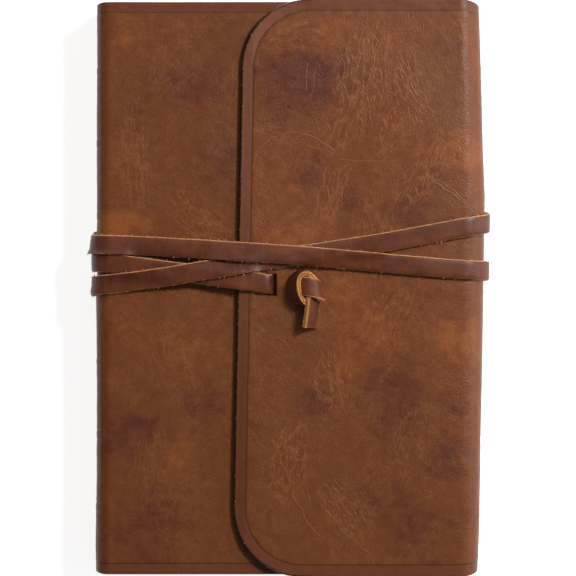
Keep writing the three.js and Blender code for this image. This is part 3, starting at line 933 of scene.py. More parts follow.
hide_face = leather_paint("hide_face", colour(80, 36, 26), colour(104, 54, 23), colour(132, 74, 27),
                          colour(158, 100, 60))
hide_edge = hide_edge_paint()
lining_face = suede_paint("lining_face", colour(120, 78, 46), colour(160, 112, 70))
strap_face = strap_paint("strap_face", colour(76, 35, 20), colour(104, 53, 30))
strap_raw = raw_paint("strap_raw", colour(104, 58, 22), colour(150, 92, 42), colour(206, 144, 80))
fibre_paint = suede_paint("fibres", colour(150, 96, 44), colour(228, 172, 104), 1.5)
strap_flesh = suede_paint("strap_flesh", colour(96, 56, 30), colour(140, 90, 52))
strap_paints = [strap_face, strap_raw, strap_flesh]
lining_back = suede_paint("lining_back", colour(92, 56, 32), colour(126, 80, 48))
thread_paint = suede_paint("thread", colour(180, 140, 92), colour(222, 190, 140), 1.5)


def card_finish():
    p = Paint("refill_card")
    at = p.attribute("sheet_mm")
    fibre = p.noise(p.mapped(at, scale=(1.0, 0.35, 1)), 1.3, 4, 0.65)
    fleck = p.remap(p.noise(at, 2.6, 2, 0.6), 0.66, 0.76)
    base = p.mix(p.remap(fibre, 0.3, 0.7), colour(150, 116, 80), colour(176, 142, 102))
    base = p.mix(p.times(fleck, 0.5), base, colour(104, 74, 46))
    return p.finish(color=base, roughness=0.8, normal=p.bump(fibre, 0.00006), specular=0.25)


def paper_finish():
    p = Paint("paper")
    at = p.attribute("sheet_mm")
    fibre = p.noise(at, 1.8, 4, 0.6)
    lines = p.noise(p.mapped(at, scale=(0.004, 0.004, 5.0)), 1.0, 2, 0.6)
    tone = p.plus(p.times(fibre, 0.4), p.times(lines, 0.6))
    base = p.mix(p.remap(tone, 0.35, 0.65), colour(220, 208, 180), colour(236, 226, 200))
    return p.finish(color=base, roughness=0.85, normal=p.bump(fibre, 0.00004), specular=0.2)


WARP_PITCH = 0.45
WEFT_PITCH = 0.5


def cloth_finish():
    p = Paint("spine_cloth_weave")
    at = p.attribute("sheet_mm")
    across, up, _ = p.parts(at)
    warp = p.math("SINE", p.times(across, 2 * math.pi / WARP_PITCH), 0)
    weft = p.math("SINE", p.times(up, 2 * math.pi / WEFT_PITCH), 0)
    weave = p.times(warp, weft)
    soft = p.noise(at, 0.6, 3, 0.5)
    base = p.mix(p.remap(weave, -0.8, 0.8), colour(196, 184, 158), colour(226, 216, 192))
    base = p.mix(p.remap(soft, 0.4, 0.7, 0, 0.25), base, colour(176, 160, 130))
    return p.finish(color=base, roughness=0.95, normal=p.bump(weave, 0.00008), specular=0.1, sheen=0.2)


def band_finish():
    p = Paint("spine_band")
    at = p.mapped(p.node("ShaderNodeTexCoord").outputs["Object"], scale=(1000, 1000, 1000))
    fibre = p.noise(at, 1.5, 4, 0.65)
    base = p.mix(p.remap(fibre, 0.35, 0.65), colour(120, 78, 46), colour(160, 112, 70))
    return p.finish(color=base, roughness=0.9, normal=p.bump(fibre, 0.0001), specular=0.15)


card_paint, paper_paint = card_finish(), paper_finish()
cloth_paint, band_paint = cloth_finish(), band_finish()

# ---------------------------------------------------------------- the hide, in four pieces that meet
front_columns = np.concatenate([
    RIM[:-1], steps_between(RIM[-1], S_SPINE_TOP, 1.15)[:-1],
    steps_between(S_SPINE_TOP, S_SPINE, 0.8)[:-1], steps_between(S_SPINE, S_SPINE_MID, 0.9)])
spine_columns = np.concatenate([
    steps_between(S_SPINE_MID, S_SPINE_END, 0.9)[:-1], steps_between(S_SPINE_END, S_BACK, 0.8)[:-1],
    steps_between(S_BACK, S_BACK_MID, 1.4)])
back_columns = np.concatenate([
    steps_between(S_BACK_MID, S_FORE_FOLD, 1.4)[:-1], steps_between(S_FORE_FOLD, S_FORE, 0.9)[:-1],
    steps_between(S_FORE, S_FORE_MID, 0.9)])


def hide_piece(name, columns, free_start=False):
    s, y, faces, edge = grid_patch(columns, 0.0, 0.95, free_start)
    relief = hide_relief(s, y, edge) + fine_relief(s, y)
    return leather_sheet(name, s, y, faces, edge, 0.0, HIDE, relief, [hide_face, hide_edge])


front_hide = hide_piece("front_hide", front_columns, True)
spine_hide = hide_piece("spine_hide", spine_columns)
back_hide = hide_piece("back_hide", back_columns)
slit_hole = (SLIT_X - 1.0, SLIT_X + 2.2, SLIT_Y - SLIT_HALF - 0.2, SLIT_Y + SLIT_HALF)
knot_hole = (KNOT_X - 1.4, KNOT_X + 1.4, KNOT_Y - SLIT_HALF, KNOT_Y + SLIT_HALF)
fs, fy, ffaces, fedge = flap_patch(0.0, RIM, 1.05, [slit_hole, knot_hole])
head_rim = smooth((fy - HEAD_RIM_Y) / 3) * smooth((fs - S_FLAP) / 6) * smooth((S_FLAP + 60 - fs) / 10)
flap_hide = leather_sheet("flap_hide", fs, fy, ffaces, fedge, 0.0, HIDE,
                          hide_relief(fs, fy, fedge) + fine_relief(fs, fy), [hide_face, hide_edge],
                          rim_bulge=0.14 + 0.4 * head_rim)

# The four folds that the hide and the linings share, each as the bodies on its two sides and two points on
# its line; the card follows the two at the spine. They are set here and not used further.
fold_front = ("spine", "front_cover", spot(SPINE_X - 1, 0, spine_top - 1),
              spot(SPINE_FOLD_X + 1, 0, FRONT_Z + 1))
fold_back = ("root", "spine", spot(SPINE_FOLD_X, 0, BACK_Z), spot(SPINE_X, 0, spine_bottom))
fold_fore = ("root", "fore_edge", spot(FORE_FOLD_X, 0, BACK_Z), spot(FORE_X, 0, fore_bottom))
fold_flap = ("fore_edge", "flap", spot(FORE_X, 0, fore_top), spot(FORE_FOLD_X, 0, FLAP_Z))
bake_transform(front_hide)
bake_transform(spine_hide)
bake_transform(back_hide)
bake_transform(flap_hide)
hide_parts("front_cover_leather")
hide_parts("spine_leather")
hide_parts("back_cover_leather", "fore_edge_leather")
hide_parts("flap_leather")
for piece in (front_hide, spine_hide, back_hide, flap_hide):
    keep_bundles(piece)
    keep_dye(piece)

# ---------------------------------------------------------------- the linings, one for each fold of the hide
LINING_MARGIN = 2.0
LINING_DEPTH = HIDE + 0.08
BAND_RELIEF = 0.95


def over_bands(s, y):
    """How much deeper the lining lies where it goes over the spine bands."""
    ridge = 0
    for off in from_bands(y):
        ridge = ridge + smooth((BAND_WIDTH / 2 + 1.2 - off) / 1.0)
    return BAND_RELIEF * ridge * smooth((9.5 - np.abs(s - S_SPINE_MID)) / 2)


def lining_piece(name, columns, free_start=False):
    s, y, faces, edge = grid_patch(columns, LINING_MARGIN, 2.4, free_start)
    depth = LINING_DEPTH + over_bands(s, y)
    return leather_sheet(name, s, y, faces, edge, depth, LINING, 0, [lining_back, lining_face], 0.25, 0.04)


lining_front = lining_piece("lining_front", np.concatenate([
    steps_between(LINING_MARGIN, S_SPINE_TOP, 2.4)[:-1], steps_between(S_SPINE_TOP, S_SPINE_MID, 0.8)]), True)
lining_spine = lining_piece("lining_spine", np.concatenate([
    steps_between(S_SPINE_MID, S_BACK, 0.8)[:-1], steps_between(S_BACK, S_BACK_MID, 2.4)]))
lining_back_half = lining_piece("lining_back", np.concatenate([
    steps_between(S_BACK_MID, S_FORE_FOLD, 2.4)[:-1], steps_between(S_FORE_FOLD, S_FORE_MID, 0.9)]))
window = (SLIT_X - 2.4, KNOT_X + 2.2, -5.6, 6.4)
ls, ly, lfaces, ledge = flap_patch(LINING_MARGIN, RIM[:6], 2.0, [window])
lining_flap = leather_sheet("lining_flap", ls, ly, lfaces, ledge, LINING_DEPTH, LINING, 0,
                            [lining_back, lining_face], 0.25, 0.04)
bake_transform(lining_front)
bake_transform(lining_spine)
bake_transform(lining_back_half)
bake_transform(lining_flap)
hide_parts("front_lining")
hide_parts("spine_lining")
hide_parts("back_lining", "fore_edge_lining")
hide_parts("flap_lining")


# ---------------------------------------------------------------- flat pieces: the sleeves and the card
def outline_distance(s, y, outline):
    """How far each point is from a closed outline."""
    a = np.array(outline, float)
    b = np.roll(a, -1, 0)
    best = np.full(len(s), 1e9)
    for (ax, ay), (bx, by) in zip(a, b):
        dx, dy = bx - ax, by - ay
        share = np.clip(((s - ax) * dx + (y - ay) * dy) / max(dx * dx + dy * dy, 1e-12), 0, 1)
        best = np.minimum(best, np.hypot(s - ax - share * dx, y - ay - share * dy))
    return best


def inside_outline(s, y, outline):
    a = np.array(outline, float)
    b = np.roll(a, -1, 0)
    odd = np.zeros(len(s), bool)
    for (ax, ay), (bx, by) in zip(a, b):
        if ay == by:
            continue
        cross = ((ay > y) != (by > y)) & (s < (bx - ax) * (y - ay) / (by - ay) + ax)
        odd ^= cross
    return odd


def outline_patch(outline, s_values, y_step, cut_s=None):
    """A patch inside an outline. Points on the line s = cut_s join the next piece: they are no cut edge."""
    points = [tuple(p) for p in outline]
    count = len(points)
    edges = [(k, (k + 1) % count) for k in range(count)]
    low, high = min(p[1] for p in points), max(p[1] for p in points)
    gs, gy = (g.ravel() for g in np.meshgrid(s_values, steps_between(low, high, y_step)))
    keep = inside_outline(gs, gy, outline) & (outline_distance(gs, gy, outline) > 0.15)
    points += list(zip(gs[keep], gy[keep]))
    net, faces = triangulate(points, edges)
    middles = np.array([net[f].mean(0) for f in faces])
    good = inside_outline(middles[:, 0], middles[:, 1], outline)
    faces = [f for f, g in zip(faces, good) if g]
    free = [p for p in outline if cut_s is None or abs(p[0] - cut_s) > 1e-6]
    edge = outline_distance(net[:, 0], net[:, 1], outline if cut_s is None else free)
    edge = np.where(edge < 1e-3, 0, edge)
    if cut_s is not None:
        edge = np.where((np.abs(net[:, 0] - cut_s) < 1e-6) & (edge > 0), np.maximum(edge, 0.01), edge)
    return net[:, 0], net[:, 1], faces, edge


def straight(a, b, step):
    """Points from a to b, without b."""
    pieces = max(1, int(math.hypot(b[0] - a[0], b[1] - a[1]) / step))
    return [(a[0] + (b[0] - a[0]) * k / pieces, a[1] + (b[1] - a[1]) * k / pieces) for k in range(pieces)]


def u_line(x0, x1, y1, r, gap, step):
    """A line along the head, round two corners of radius r and back along the tail, open at x0."""
    return (straight((x0, y1), (x1 - r, y1), step) + arc(x1 - r, y1 - r, r, 90, 0, 8)
            + straight((x1, y1 - r - gap), (x1, -y1 + r + gap), step) + arc(x1 - r, -y1 + r, r, 0, -90, 8)
            + straight((x1 - r - gap, -y1), (x0, -y1), step))


SLEEVE_NOTCH = 10.0
SLEEVE_CORNER = 4.0
SEAM_INSET = 3.0


def stitch_run(points, pitch, length, width, height, z, up):
    """Stitches along a line: short rounded threads that dip into the leather at both ends."""
    reach = np.concatenate([[0], np.cumsum([math.dist(a, b) for a, b in zip(points, points[1:])])])
    pieces = []
    points = np.array(points)
    rounds, rings = 8, 7
    for k, at in enumerate(np.arange(pitch / 2, reach[-1] - pitch / 2, pitch)):
        x, y = (np.interp(at, reach, points[:, i]) for i in (0, 1))
        ax, ay = (np.interp(at + 0.2, reach, points[:, i]) - np.interp(at - 0.2, reach, points[:, i])
                  for i in (0, 1))
        size = math.hypot(ax, ay)
        ax, ay = ax / size, ay / size
        vertices, faces = [], tube_faces(rings, rounds)
        for i in range(rings):
            t = -1 + 2 * i / (rings - 1)
            fat = math.sqrt(max(0.0, 1 - 0.82 * t * t))
            rise = height * (1 - t * t) - 0.12
            for j in range(rounds):
                a = 2 * math.pi * j / rounds
                side = math.cos(a) * width / 2 * fat
                lift = rise + math.sin(a) * width / 2 * fat * 0.8
                ahead = t * length / 2
                vertices.append((x + ax * ahead - ay * side, y + ay * ahead + ax * side, z + up * lift))
        faces.append(list(range(rounds))[::-1])
        faces.append([(rings - 1) * rounds + j for j in range(rounds)])
        pieces.append((np.array(vertices), faces, [0] * len(faces), np.array(vertices)))
    return pieces


def build_sleeve(name, cad_name, up):
    """A pocket for one side of the refill's cover: sewn down on three sides, open towards the spine."""
    (x0, _, low_z), (x1, y1, high_z) = cad_span(cad_name)
    z = high_z if up > 0 else low_z
    outline = straight((x0, SLEEVE_NOTCH), (x0, y1), 3) + u_line(x0, x1, y1, SLEEVE_CORNER, 2, 3)
    outline += straight((x0, -y1), (x0, -SLEEVE_NOTCH), 3)
    outline += arc(x0, 0, SLEEVE_NOTCH, -90, 90, 25)[:-1]
    s, y, faces, edge = outline_patch(outline, steps_between(x0, x1, 2.2), 2.2)
    sewn = np.minimum(y1 - np.abs(y), x1 - s)
    relief = -0.16 * np.exp(-(((sewn - SEAM_INSET) / 0.8) ** 2)) + 0.05 * value_noise(s / 9, y / 9, 41)

    def placer(a, b, depth):
        a, b, depth = np.broadcast_arrays(a, b, depth)
        return np.stack([a, b, z - up * depth], -1)

    piece = leather_sheet(name, s, y, faces, edge, 0.05, 1.0, relief, [lining_face, lining_back], 0.3, 0.08,
                          put=placer)
    line = u_line(x0 + 4, x1 - SEAM_INSET, y1 - SEAM_INSET, 2, 1, 2)
    stitches = stitch_run(line, 3.3, 2.5, 0.55, 0.22, z - up * 0.12, up)
    thread = joined(name + "_stitches", outward(stitches), [thread_paint])
    return piece, thread


SIGNATURES = 6


class Card:
    """The refill's card cover, from its front edge round the spine to its back edge."""
    x1, half, top = cad_span("refill_front_cover")[1]
    x0 = cad_span("refill_spine_cover")[0][0]
    bottom = cad_span("refill_back_cover")[0][2]
    radius = 1.2
    line = Section([(x1, top)] + arc(x0 + radius, top - radius, radius, 90, 180, 9)
                   + arc(x0 + radius, bottom + radius, radius, 180, 270, 9) + [(x1, bottom)])
    middle = line.length[-1] / 2
    fold = x1 - x0 - radius


def card_placer(s, y, depth):
    s, y, depth = np.broadcast_arrays(np.asarray(s, float), y, depth)
    x, z = Card.line.at(s)
    nx, nz = Card.line.normal(s)
    return np.stack([x - nx * depth, y, z - nz * depth], -1)


def build_card(name, mirrored):
    """Half of the card cover, from its free edge to the middle of the spine."""
    r, half, cut = 5.0, Card.half, Card.middle
    bend = steps_between(Card.fold - 0.5, cut, 0.5)
    run = np.concatenate([steps_between(r + 2, Card.fold - 1, 3), bend])
    outline = arc(r, half - r, r, 90, 180, 8) + straight((0, half - r - 2), (0, r - half), 3)
    outline += arc(r, r - half, r, 180, 270, 8) + [(v, -half) for v in run]
    outline += straight((cut, -half + 2), (cut, half), 2) + [(v, half) for v in run[::-1]]
    columns = np.concatenate([steps_between(0, Card.fold - 1, 5), bend])
    if mirrored:
        outline = [(2 * cut - a, b) for a, b in outline][::-1]
        columns = 2 * cut - columns
    s, y, faces, edge = outline_patch(outline, columns, 4.0, cut)
    groove = -0.12 * np.exp(-(((np.minimum(s, 2 * Card.middle - s) - Card.fold + 0.6) / 0.5) ** 2))
    return leather_sheet(name, s, y, faces, edge, 0.02, 0.76, groove, [card_paint, card_paint], 0.15, 0.03,
                         put=card_placer)


def build_leaves(index):
    """One signature: four sheets folded over each other, each a little shorter at the fore edge."""
    (x0, _, z0), (x1, half, z1) = cad_span("signature_%d" % index)
    rng = np.random.RandomState(100 + index)
    middle = (z0 + z1) / 2
    sheets = 4
    pitch = (z1 - z0 - 0.06) / 2 / sheets
    pieces = []
    for k in range(sheets):
        outer = (z1 - z0) / 2 - 0.03 - k * pitch
        inner = outer - pitch + 0.05
        end = x1 - 0.1 - 0.12 * k - 0.1 * rng.rand()
        centre = x0 + (z1 - z0) / 2
        points_out, points_in = (
            [(x, middle + r) for x in (end, 20.0, -30.0)] + arc(centre, middle, r, 90, 270, 9)
            + [(x, middle - r) for x in (-30.0, 20.0, end - 0.1)] for r in (outer, inner))
        head, tail = half - 0.22 * rng.rand(), -half + 0.22 * rng.rand()
        rows = np.linspace(tail, head, 9)
        ring = points_out + points_in[::-1]
        size, pairs = len(ring), len(points_out)
        vertices, faces = [], tube_faces(len(rows), size)
        for j, y in enumerate(rows):
            for x, z in ring:
                waver = 0.05 * math.sin(j * 1.7 + k + index * 2.3) if x > 60 else 0
                vertices.append((x + waver, y, z))
        for base, flip in ((0, False), ((len(rows) - 1) * size, True)):
            for i in range(pairs - 1):
                quad = [base + i, base + size - 1 - i, base + size - 2 - i, base + i + 1]
                faces.append(quad[::-1] if flip else quad)
        pieces.append((np.array(vertices), faces, [0] * len(faces), np.array(vertices)))
    return joined("leaves_%d" % index, outward(pieces), [paper_paint], 30)


def build_cloth():
    """The cloth strip that is glued over the folds of the six signatures."""
    (x0, _, z0), (_, half, z1) = cad_span("refill_spine_cloth")
    first, last = (cad_span("signature_%d" % number)[0][2] for number in (1, SIGNATURES))
    pitch = (last - first) / (SIGNATURES - 1)
    length = z1 - z0

    def placer(s, y, depth):
        s, y, depth = np.broadcast_arrays(np.asarray(s, float), y, depth)
        z = z0 + s
        hollow = 0.16 * (0.5 + 0.5 * np.cos(2 * math.pi * (z - first + 0.15) / pitch))
        return np.stack([x0 + 0.02 + hollow + depth, y, z], -1)

    outline = straight((0, -half), (length, -half), 0.4) + straight((length, -half), (length, half), 2)
    outline += straight((length, half), (0, half), 0.4) + straight((0, half), (0, -half), 2)
    s, y, faces, edge = outline_patch(outline, steps_between(0, length, 0.4), 2.0)
    piece = leather_sheet("cloth_strip", s, y, faces, edge, 0.0, 0.3, 0.0, [cloth_paint, cloth_paint],
                          0.1, 0.03, put=placer)
    return piece, 2 * half * M, length * M


for cad_name, body, up in (("back_sleeve", "root", 1), ("front_sleeve", "front_cover", -1)):
    sleeve, thread = build_sleeve("pocket_" + cad_name.split("_")[0], cad_name, up)
    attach(sleeve, body)
    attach(thread, body)
    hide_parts(cad_name)

card_front, card_back = build_card("card_front", False), build_card("card_back", True)
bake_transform(card_front)
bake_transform(card_back)
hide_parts("refill_front_cover")
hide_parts("refill_back_cover", "refill_spine_cover")

for number in range(1, SIGNATURES + 1):
    leaves = build_leaves(number)
    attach(leaves, "root")
    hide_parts("signature_%d" % number)

cloth, cloth_height, cloth_width = build_cloth()
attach(cloth, "root")
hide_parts("refill_spine_cloth")

for number in range(1, BANDS + 1):
    band = bpy.data.objects["spine_band_%d" % number]
    for place_in in band.material_slots:
        place_in.material = band_paint

# ---------------------------------------------------------------- ribbons: the strap, its knot and its tail
def gentle(values, steps):
    """Gaussian smoothing along the first axis, steps samples wide, with the ends held."""
    reach = max(1, int(steps * 3))
    kernel = np.exp(-0.5 * (np.arange(-reach, reach + 1) / steps) ** 2)
    kernel /= kernel.sum()
    values = np.asarray(values, float)
    flat = values.reshape(len(values), -1)
    padded = np.concatenate([np.repeat(flat[:1], reach, 0), flat, np.repeat(flat[-1:], reach, 0)])
    out = np.stack([np.convolve(padded[:, k], kernel, "valid") for k in range(flat.shape[1])], -1)
    return out.reshape(values.shape)


def along(points, step, width):
    """Points at even steps on a smooth line through the given ones, with all their columns."""
    points = np.array(points, float)
    reach = running_length(points[:, :3])
    at = np.linspace(0, reach[-1], max(3, int(reach[-1] / step) + 1))
    out = np.stack([np.interp(at, reach, points[:, k]) for k in range(points.shape[1])], -1)
    held = gentle(out, width / step)
    ease = smooth(np.minimum(at, reach[-1] - at) / (3 * width))[:, None]
    return out + (held - out) * ease


def unit(vectors):
    return vectors / (np.linalg.norm(vectors, axis=-1, keepdims=True) + 1e-12)


def ribbon_ring():
    """The strap's section, as (across, out, material) in turn: the smooth face first, then round the edge."""
    w, t = STRAP_WIDTH / 2, STRAP / 2
    face = [(-w + 0.3, t, 0), (-w / 2, t + 0.05, 0), (0, t + 0.07, 0), (w / 2, t + 0.05, 0), (w - 0.3, t, 0)]
    side = [(w - 0.1, t - 0.1, 1), (w + 0.02, t * 0.45, 1), (w + 0.1, -t * 0.2, 1), (w - 0.04, -t + 0.2, 1)]
    under = [(w - 0.4, -t, 2), (0, -t, 2)]
    other = [(-a, b, 1) for a, b, _ in side[::-1]]
    return face + side + under + [(-w + 0.4, -t, 1)] + other


RING = ribbon_ring()


def ribbon(centre, across, out, width, thickness, lay, seed, start_length=0.0, raw_below=True):
    """A flat thong along a line. lay turns points of the line's own space into cover millimetres."""
    centre, across, out = np.array(centre, float), unit(np.array(across, float)), unit(np.array(out, float))
    count = len(centre)
    width = np.broadcast_to(width, count)
    thickness = np.broadcast_to(thickness, count)
    length = start_length + running_length(centre)
    size = len(RING)
    rows, marks = [], []
    for k, (a, b, kind) in enumerate(RING):
        ragged = 0.11 if kind == 1 else 0.0
        rag = ragged * value_noise(length / 1.1 + 17 * k, np.full(count, seed + 0.5), seed)
        rag = rag + 0.07 * value_noise(length / 9.0, np.full(count, (3.5 if a > 0 else 9.5) + seed), seed)
        shift = (a * width / STRAP_WIDTH + np.sign(a) * rag * (abs(a) > width / 2 - 0.6))[:, None]
        rows.append(centre + across * shift + out * (b * thickness / STRAP)[:, None])
        marks.append(np.stack([length, np.full(count, a + 40.0 * (kind == 2)), np.full(count, b)], -1))
    rows = np.stack(rows, 1)
    marks = np.stack(marks, 1)
    if lay is not None:
        rows = lay(rows)
    vertices = list(rows.reshape(-1, 3))
    marks = list(marks.reshape(-1, 3))
    faces, around = tube_faces(count, size), []
    # With raw_below off, the border between face and cut edge on the lower side takes the dark face paint,
    # not the tan raw paint: painted shade on the strap's lower edge.
    for k in range(size):
        pair = (RING[k][2], RING[(k + 1) % size][2])
        bare = max(pair) if raw_below or RING[k][0] > 0 else min(pair)
        around.append(bare if max(pair) < 2 else RING[k][2])
    kinds = around * (count - 1)
    for i, flip in ((0, True), (count - 1, False)):
        middle = len(vertices)
        vertices.append(rows[i].mean(0))
        marks.append(np.array([length[i], 0, 0.5]))
        for k in range(size):
            a, b = i * size + k, i * size + (k + 1) % size
            faces.append([b, a, middle] if flip else [a, b, middle])
            kinds.append(1)
    return np.array(vertices), faces, kinds, np.array(marks)


def fibre(root, away, side, length, thick):
    """One loose fibre: a bent three-sided spike, closed, that stands on its root."""
    corners = [side, np.cross(away, side) * 0.87 - side * 0.5, -np.cross(away, side) * 0.87 - side * 0.5]
    low = [root - away * 0.12 + c * thick for c in corners]
    middle = [root + away * 0.55 * length + side * 0.1 * length + c * thick * 0.6 for c in corners]
    tip = root + away * 0.9 * length + side * 0.4 * length
    vertices = np.array(low + middle + [tip])
    faces = [[2, 1, 0]]
    for k in range(3):
        n = (k + 1) % 3
        faces += [[k, n, n + 3, k + 3], [k + 3, n + 3, 6]]
    return vertices, faces, [0] * len(faces), vertices


FLOOR_CLEARANCE = 0.05


def edge_fibres(ribbon_piece, seed, spacing):
    """Loose fibres along both cut edges of a ribbon, in clusters, more of them on its upper edge."""
    size = len(RING)
    rows = ribbon_piece[0][:-2].reshape(-1, size, 3)
    rng = np.random.RandomState(seed)
    reach = running_length(rows.mean(1))
    pieces = []
    for high, low, gap in ((5, 7, spacing[0]), (size - 1, size - 3, spacing[1])):
        at = gap
        while at < reach[-1] - 1:
            cluster = value_noise(at / 7.0, seed + high, seed + 60)
            if rng.rand() < 0.5 + 0.5 * cluster:
                share = rng.rand()
                line = rows[:, high] * (1 - share) + rows[:, low] * share
                root = np.array([np.interp(at, reach, line[:, k]) for k in range(3)])
                centre = np.array([np.interp(at, reach, rows[:, :, k].mean(1)) for k in range(3)])
                away = unit(unit(root - centre) + rng.uniform(-0.5, 0.5, 3))
                side = unit(np.cross(away, rng.uniform(-1, 1, 3)))
                length = 0.4 + 0.95 * rng.rand() ** 2
                hair = fibre(root, away, side, length, 0.1 + 0.12 * rng.rand())
                if hair[0][:, 2].min() > FLOOR_CLEARANCE:
                    pieces.append(hair)
            at += gap * (0.4 + 1.2 * rng.rand())
    return outward(pieces)


# The strap lies on the hull of the closed book: over the step at the flap's free edge it goes straight.
hull = Section([(FORE_FOLD_X, FLAP_Z), (FLAP_EDGE_HEAD_X, FLAP_Z)] + round_the_book(86))
TURN = hull.length[-1]
H_EDGE = FORE_FOLD_X - FLAP_EDGE_HEAD_X
H_SPINE = H_EDGE + math.hypot(FLAP_EDGE_HEAD_X - SPINE_FOLD_X, FLAP_Z - FRONT_Z)
H_SPINE_MID = H_SPINE + quarter * SPINE_RADIUS + (spine_top - spine_bottom) / 2
H_BACK = H_SPINE_MID + quarter * SPINE_RADIUS + (spine_top - spine_bottom) / 2
H_FORE_MID = TURN - quarter * FORE_RADIUS - (fore_top - fore_bottom) / 2


def hull_swell(s, y):
    """The hide's own swell under a point of the hull."""
    s = np.mod(s, TURN)
    on_flap = swell(S_FLAP + s, y)
    on_rest = swell(S_SPINE_TOP + s - H_SPINE, y)
    bridge = smooth((s - H_EDGE + 4) / 4) * smooth((H_SPINE - s + 4) / 4)
    return np.where(s < (H_EDGE + H_SPINE) / 2, on_flap, on_rest) * (1 - bridge)


def on_hull(points):
    """Points given as (length round the hull, height, distance out), as cover millimetres."""
    s, y, out = points[..., 0], points[..., 1], points[..., 2]
    at = np.mod(s, TURN)
    ahead, behind = np.mod(s + 1.2, TURN), np.mod(s - 1.2, TURN)
    x, z = hull.at(at)
    (ax, az), (bx, bz) = hull.at(ahead), hull.at(behind)
    size = np.hypot(ax - bx, az - bz)
    nx, nz = (az - bz) / size, -(ax - bx) / size
    out = out + hull_swell(s, y)
    x = x + nx * out
    z = z + nz * out
    x = x + fore_bulge(y) * smooth((x - 25) / 50)
    return np.stack([x, y, z], -1)


# Where the strap's middle lies: length round the hull from the first turn's start, and height
SLIT_S = FORE_FOLD_X - SLIT_X
STRAP_ROUTE = [
    (SLIT_S - 20, -1.0), (SLIT_S, 1.9), (SLIT_S + 30, 5.8), (H_SPINE, 10.2), (H_SPINE_MID, 11.0),
    (H_BACK, 11.8), (H_FORE_MID, 27.4),
    (TURN, 24.0), (TURN + 32, 17.9), (TURN + H_EDGE, 9.7), (TURN + H_EDGE + 31, 4.4), (TURN + H_SPINE, 1.7),
    (TURN + H_SPINE_MID, 0.6), (TURN + H_BACK, 0.8), (TURN + H_FORE_MID, 7.0),
    (2 * TURN, 7.3), (2 * TURN + 32, 10.2), (2 * TURN + 64, 13.1), (2 * TURN + 112, 16.2),
    (2 * TURN + H_SPINE, 17.4), (2 * TURN + H_SPINE_MID, 17.6), (2 * TURN + H_BACK, 20.6),
    (2 * TURN + H_BACK + 58, 29.0), (2 * TURN + H_BACK + 80, 32.2),
]
STRAP_END = 2 * TURN + H_BACK + 58
STRAP_STEP = 0.8
ACROSS = np.linspace(-0.5, 0.5, 9) * (STRAP_WIDTH + 0.5)


def supporting_line(heights):
    """For each row, the lowest straight line over the strap's width that stays on or above its heights."""
    best = np.zeros((len(heights), len(ACROSS)))
    cost = np.full(len(heights), 1e9)
    for i in range(len(ACROSS)):
        for j in range(i + 1, len(ACROSS)):
            tilt = (heights[:, j] - heights[:, i]) / (ACROSS[j] - ACROSS[i])
            middle = heights[:, i] - tilt * ACROSS[i]
            line = middle[:, None] + tilt[:, None] * ACROSS
            good = (line > heights - 1e-6).all(1) & (middle < cost)
            cost = np.where(good, middle, cost)
            best[good] = line[good]
    return best


def strap_lifts(s, y):
    """How high the strap's underside is at each place, where it goes over its own earlier turns."""
    slope = np.gradient(y, s)
    place_s = s[:, None] - ACROSS * (slope / np.hypot(1, slope))[:, None]
    place_y = y[:, None] + ACROSS / np.hypot(1, slope)[:, None]
    lift = np.zeros((len(s), len(ACROSS)))
    reach = int(2.4 / STRAP_STEP)
    turns = int((s[-1] - s[0]) / TURN)
    for _ in range(turns + 1):
        need = np.zeros_like(lift)
        for back in range(1, turns + 1):
            at = place_s - back * TURN
            off = place_y - np.interp(at, s, y)
            left, right = np.interp(at, s, lift[:, 0]), np.interp(at, s, lift[:, -1])
            share = np.clip(off / STRAP_WIDTH + 0.5, 0, 1)
            top = left + (right - left) * share + STRAP + 0.12
            inside = (np.abs(off) < STRAP_WIDTH / 2 + 0.25) & (at > s[0])
            need = np.maximum(need, np.where(inside, top, 0))
        held = np.concatenate([need[:1].repeat(reach, 0), need, need[-1:].repeat(reach, 0)])
        wide = np.max([held[k:k + len(s)] for k in range(2 * reach + 1)], 0)
        wide = gentle(wide, 1.5 / STRAP_STEP)
        lift = gentle(0.45 * supporting_line(wide) + 0.55 * wide, 1.3 / STRAP_STEP)
    return lift


STRAP_UNDER = -HIDE - 0.62


def strap_start(s, y):
    """The strap's start: from under the knot, along under the flap, and up through the slit."""
    return along([
        (SLIT_S - 12.6, KNOT_Y, 3.6), (SLIT_S - 12.9, KNOT_Y, 0), (SLIT_S - 12.9, KNOT_Y, -1.6),
        (SLIT_S - 12.4, KNOT_Y, STRAP_UNDER), (SLIT_S - 11.2, KNOT_Y + 0.1, STRAP_UNDER),
        (SLIT_S - 1.9, y[0] - 0.2, STRAP_UNDER), (SLIT_S - 0.7, y[0], STRAP_UNDER),
        (SLIT_S - 0.15, y[0], STRAP_UNDER + 0.8), (SLIT_S + 0.1, y[0], -0.6), (SLIT_S + 0.75, y[0], 0.75),
        (SLIT_S + 2.2, y[0] + 0.1, STRAP / 2 + 0.05),
        (SLIT_S + 5, np.interp(SLIT_S + 5, s, y), STRAP / 2 + 0.12)], 0.4, 0.5)


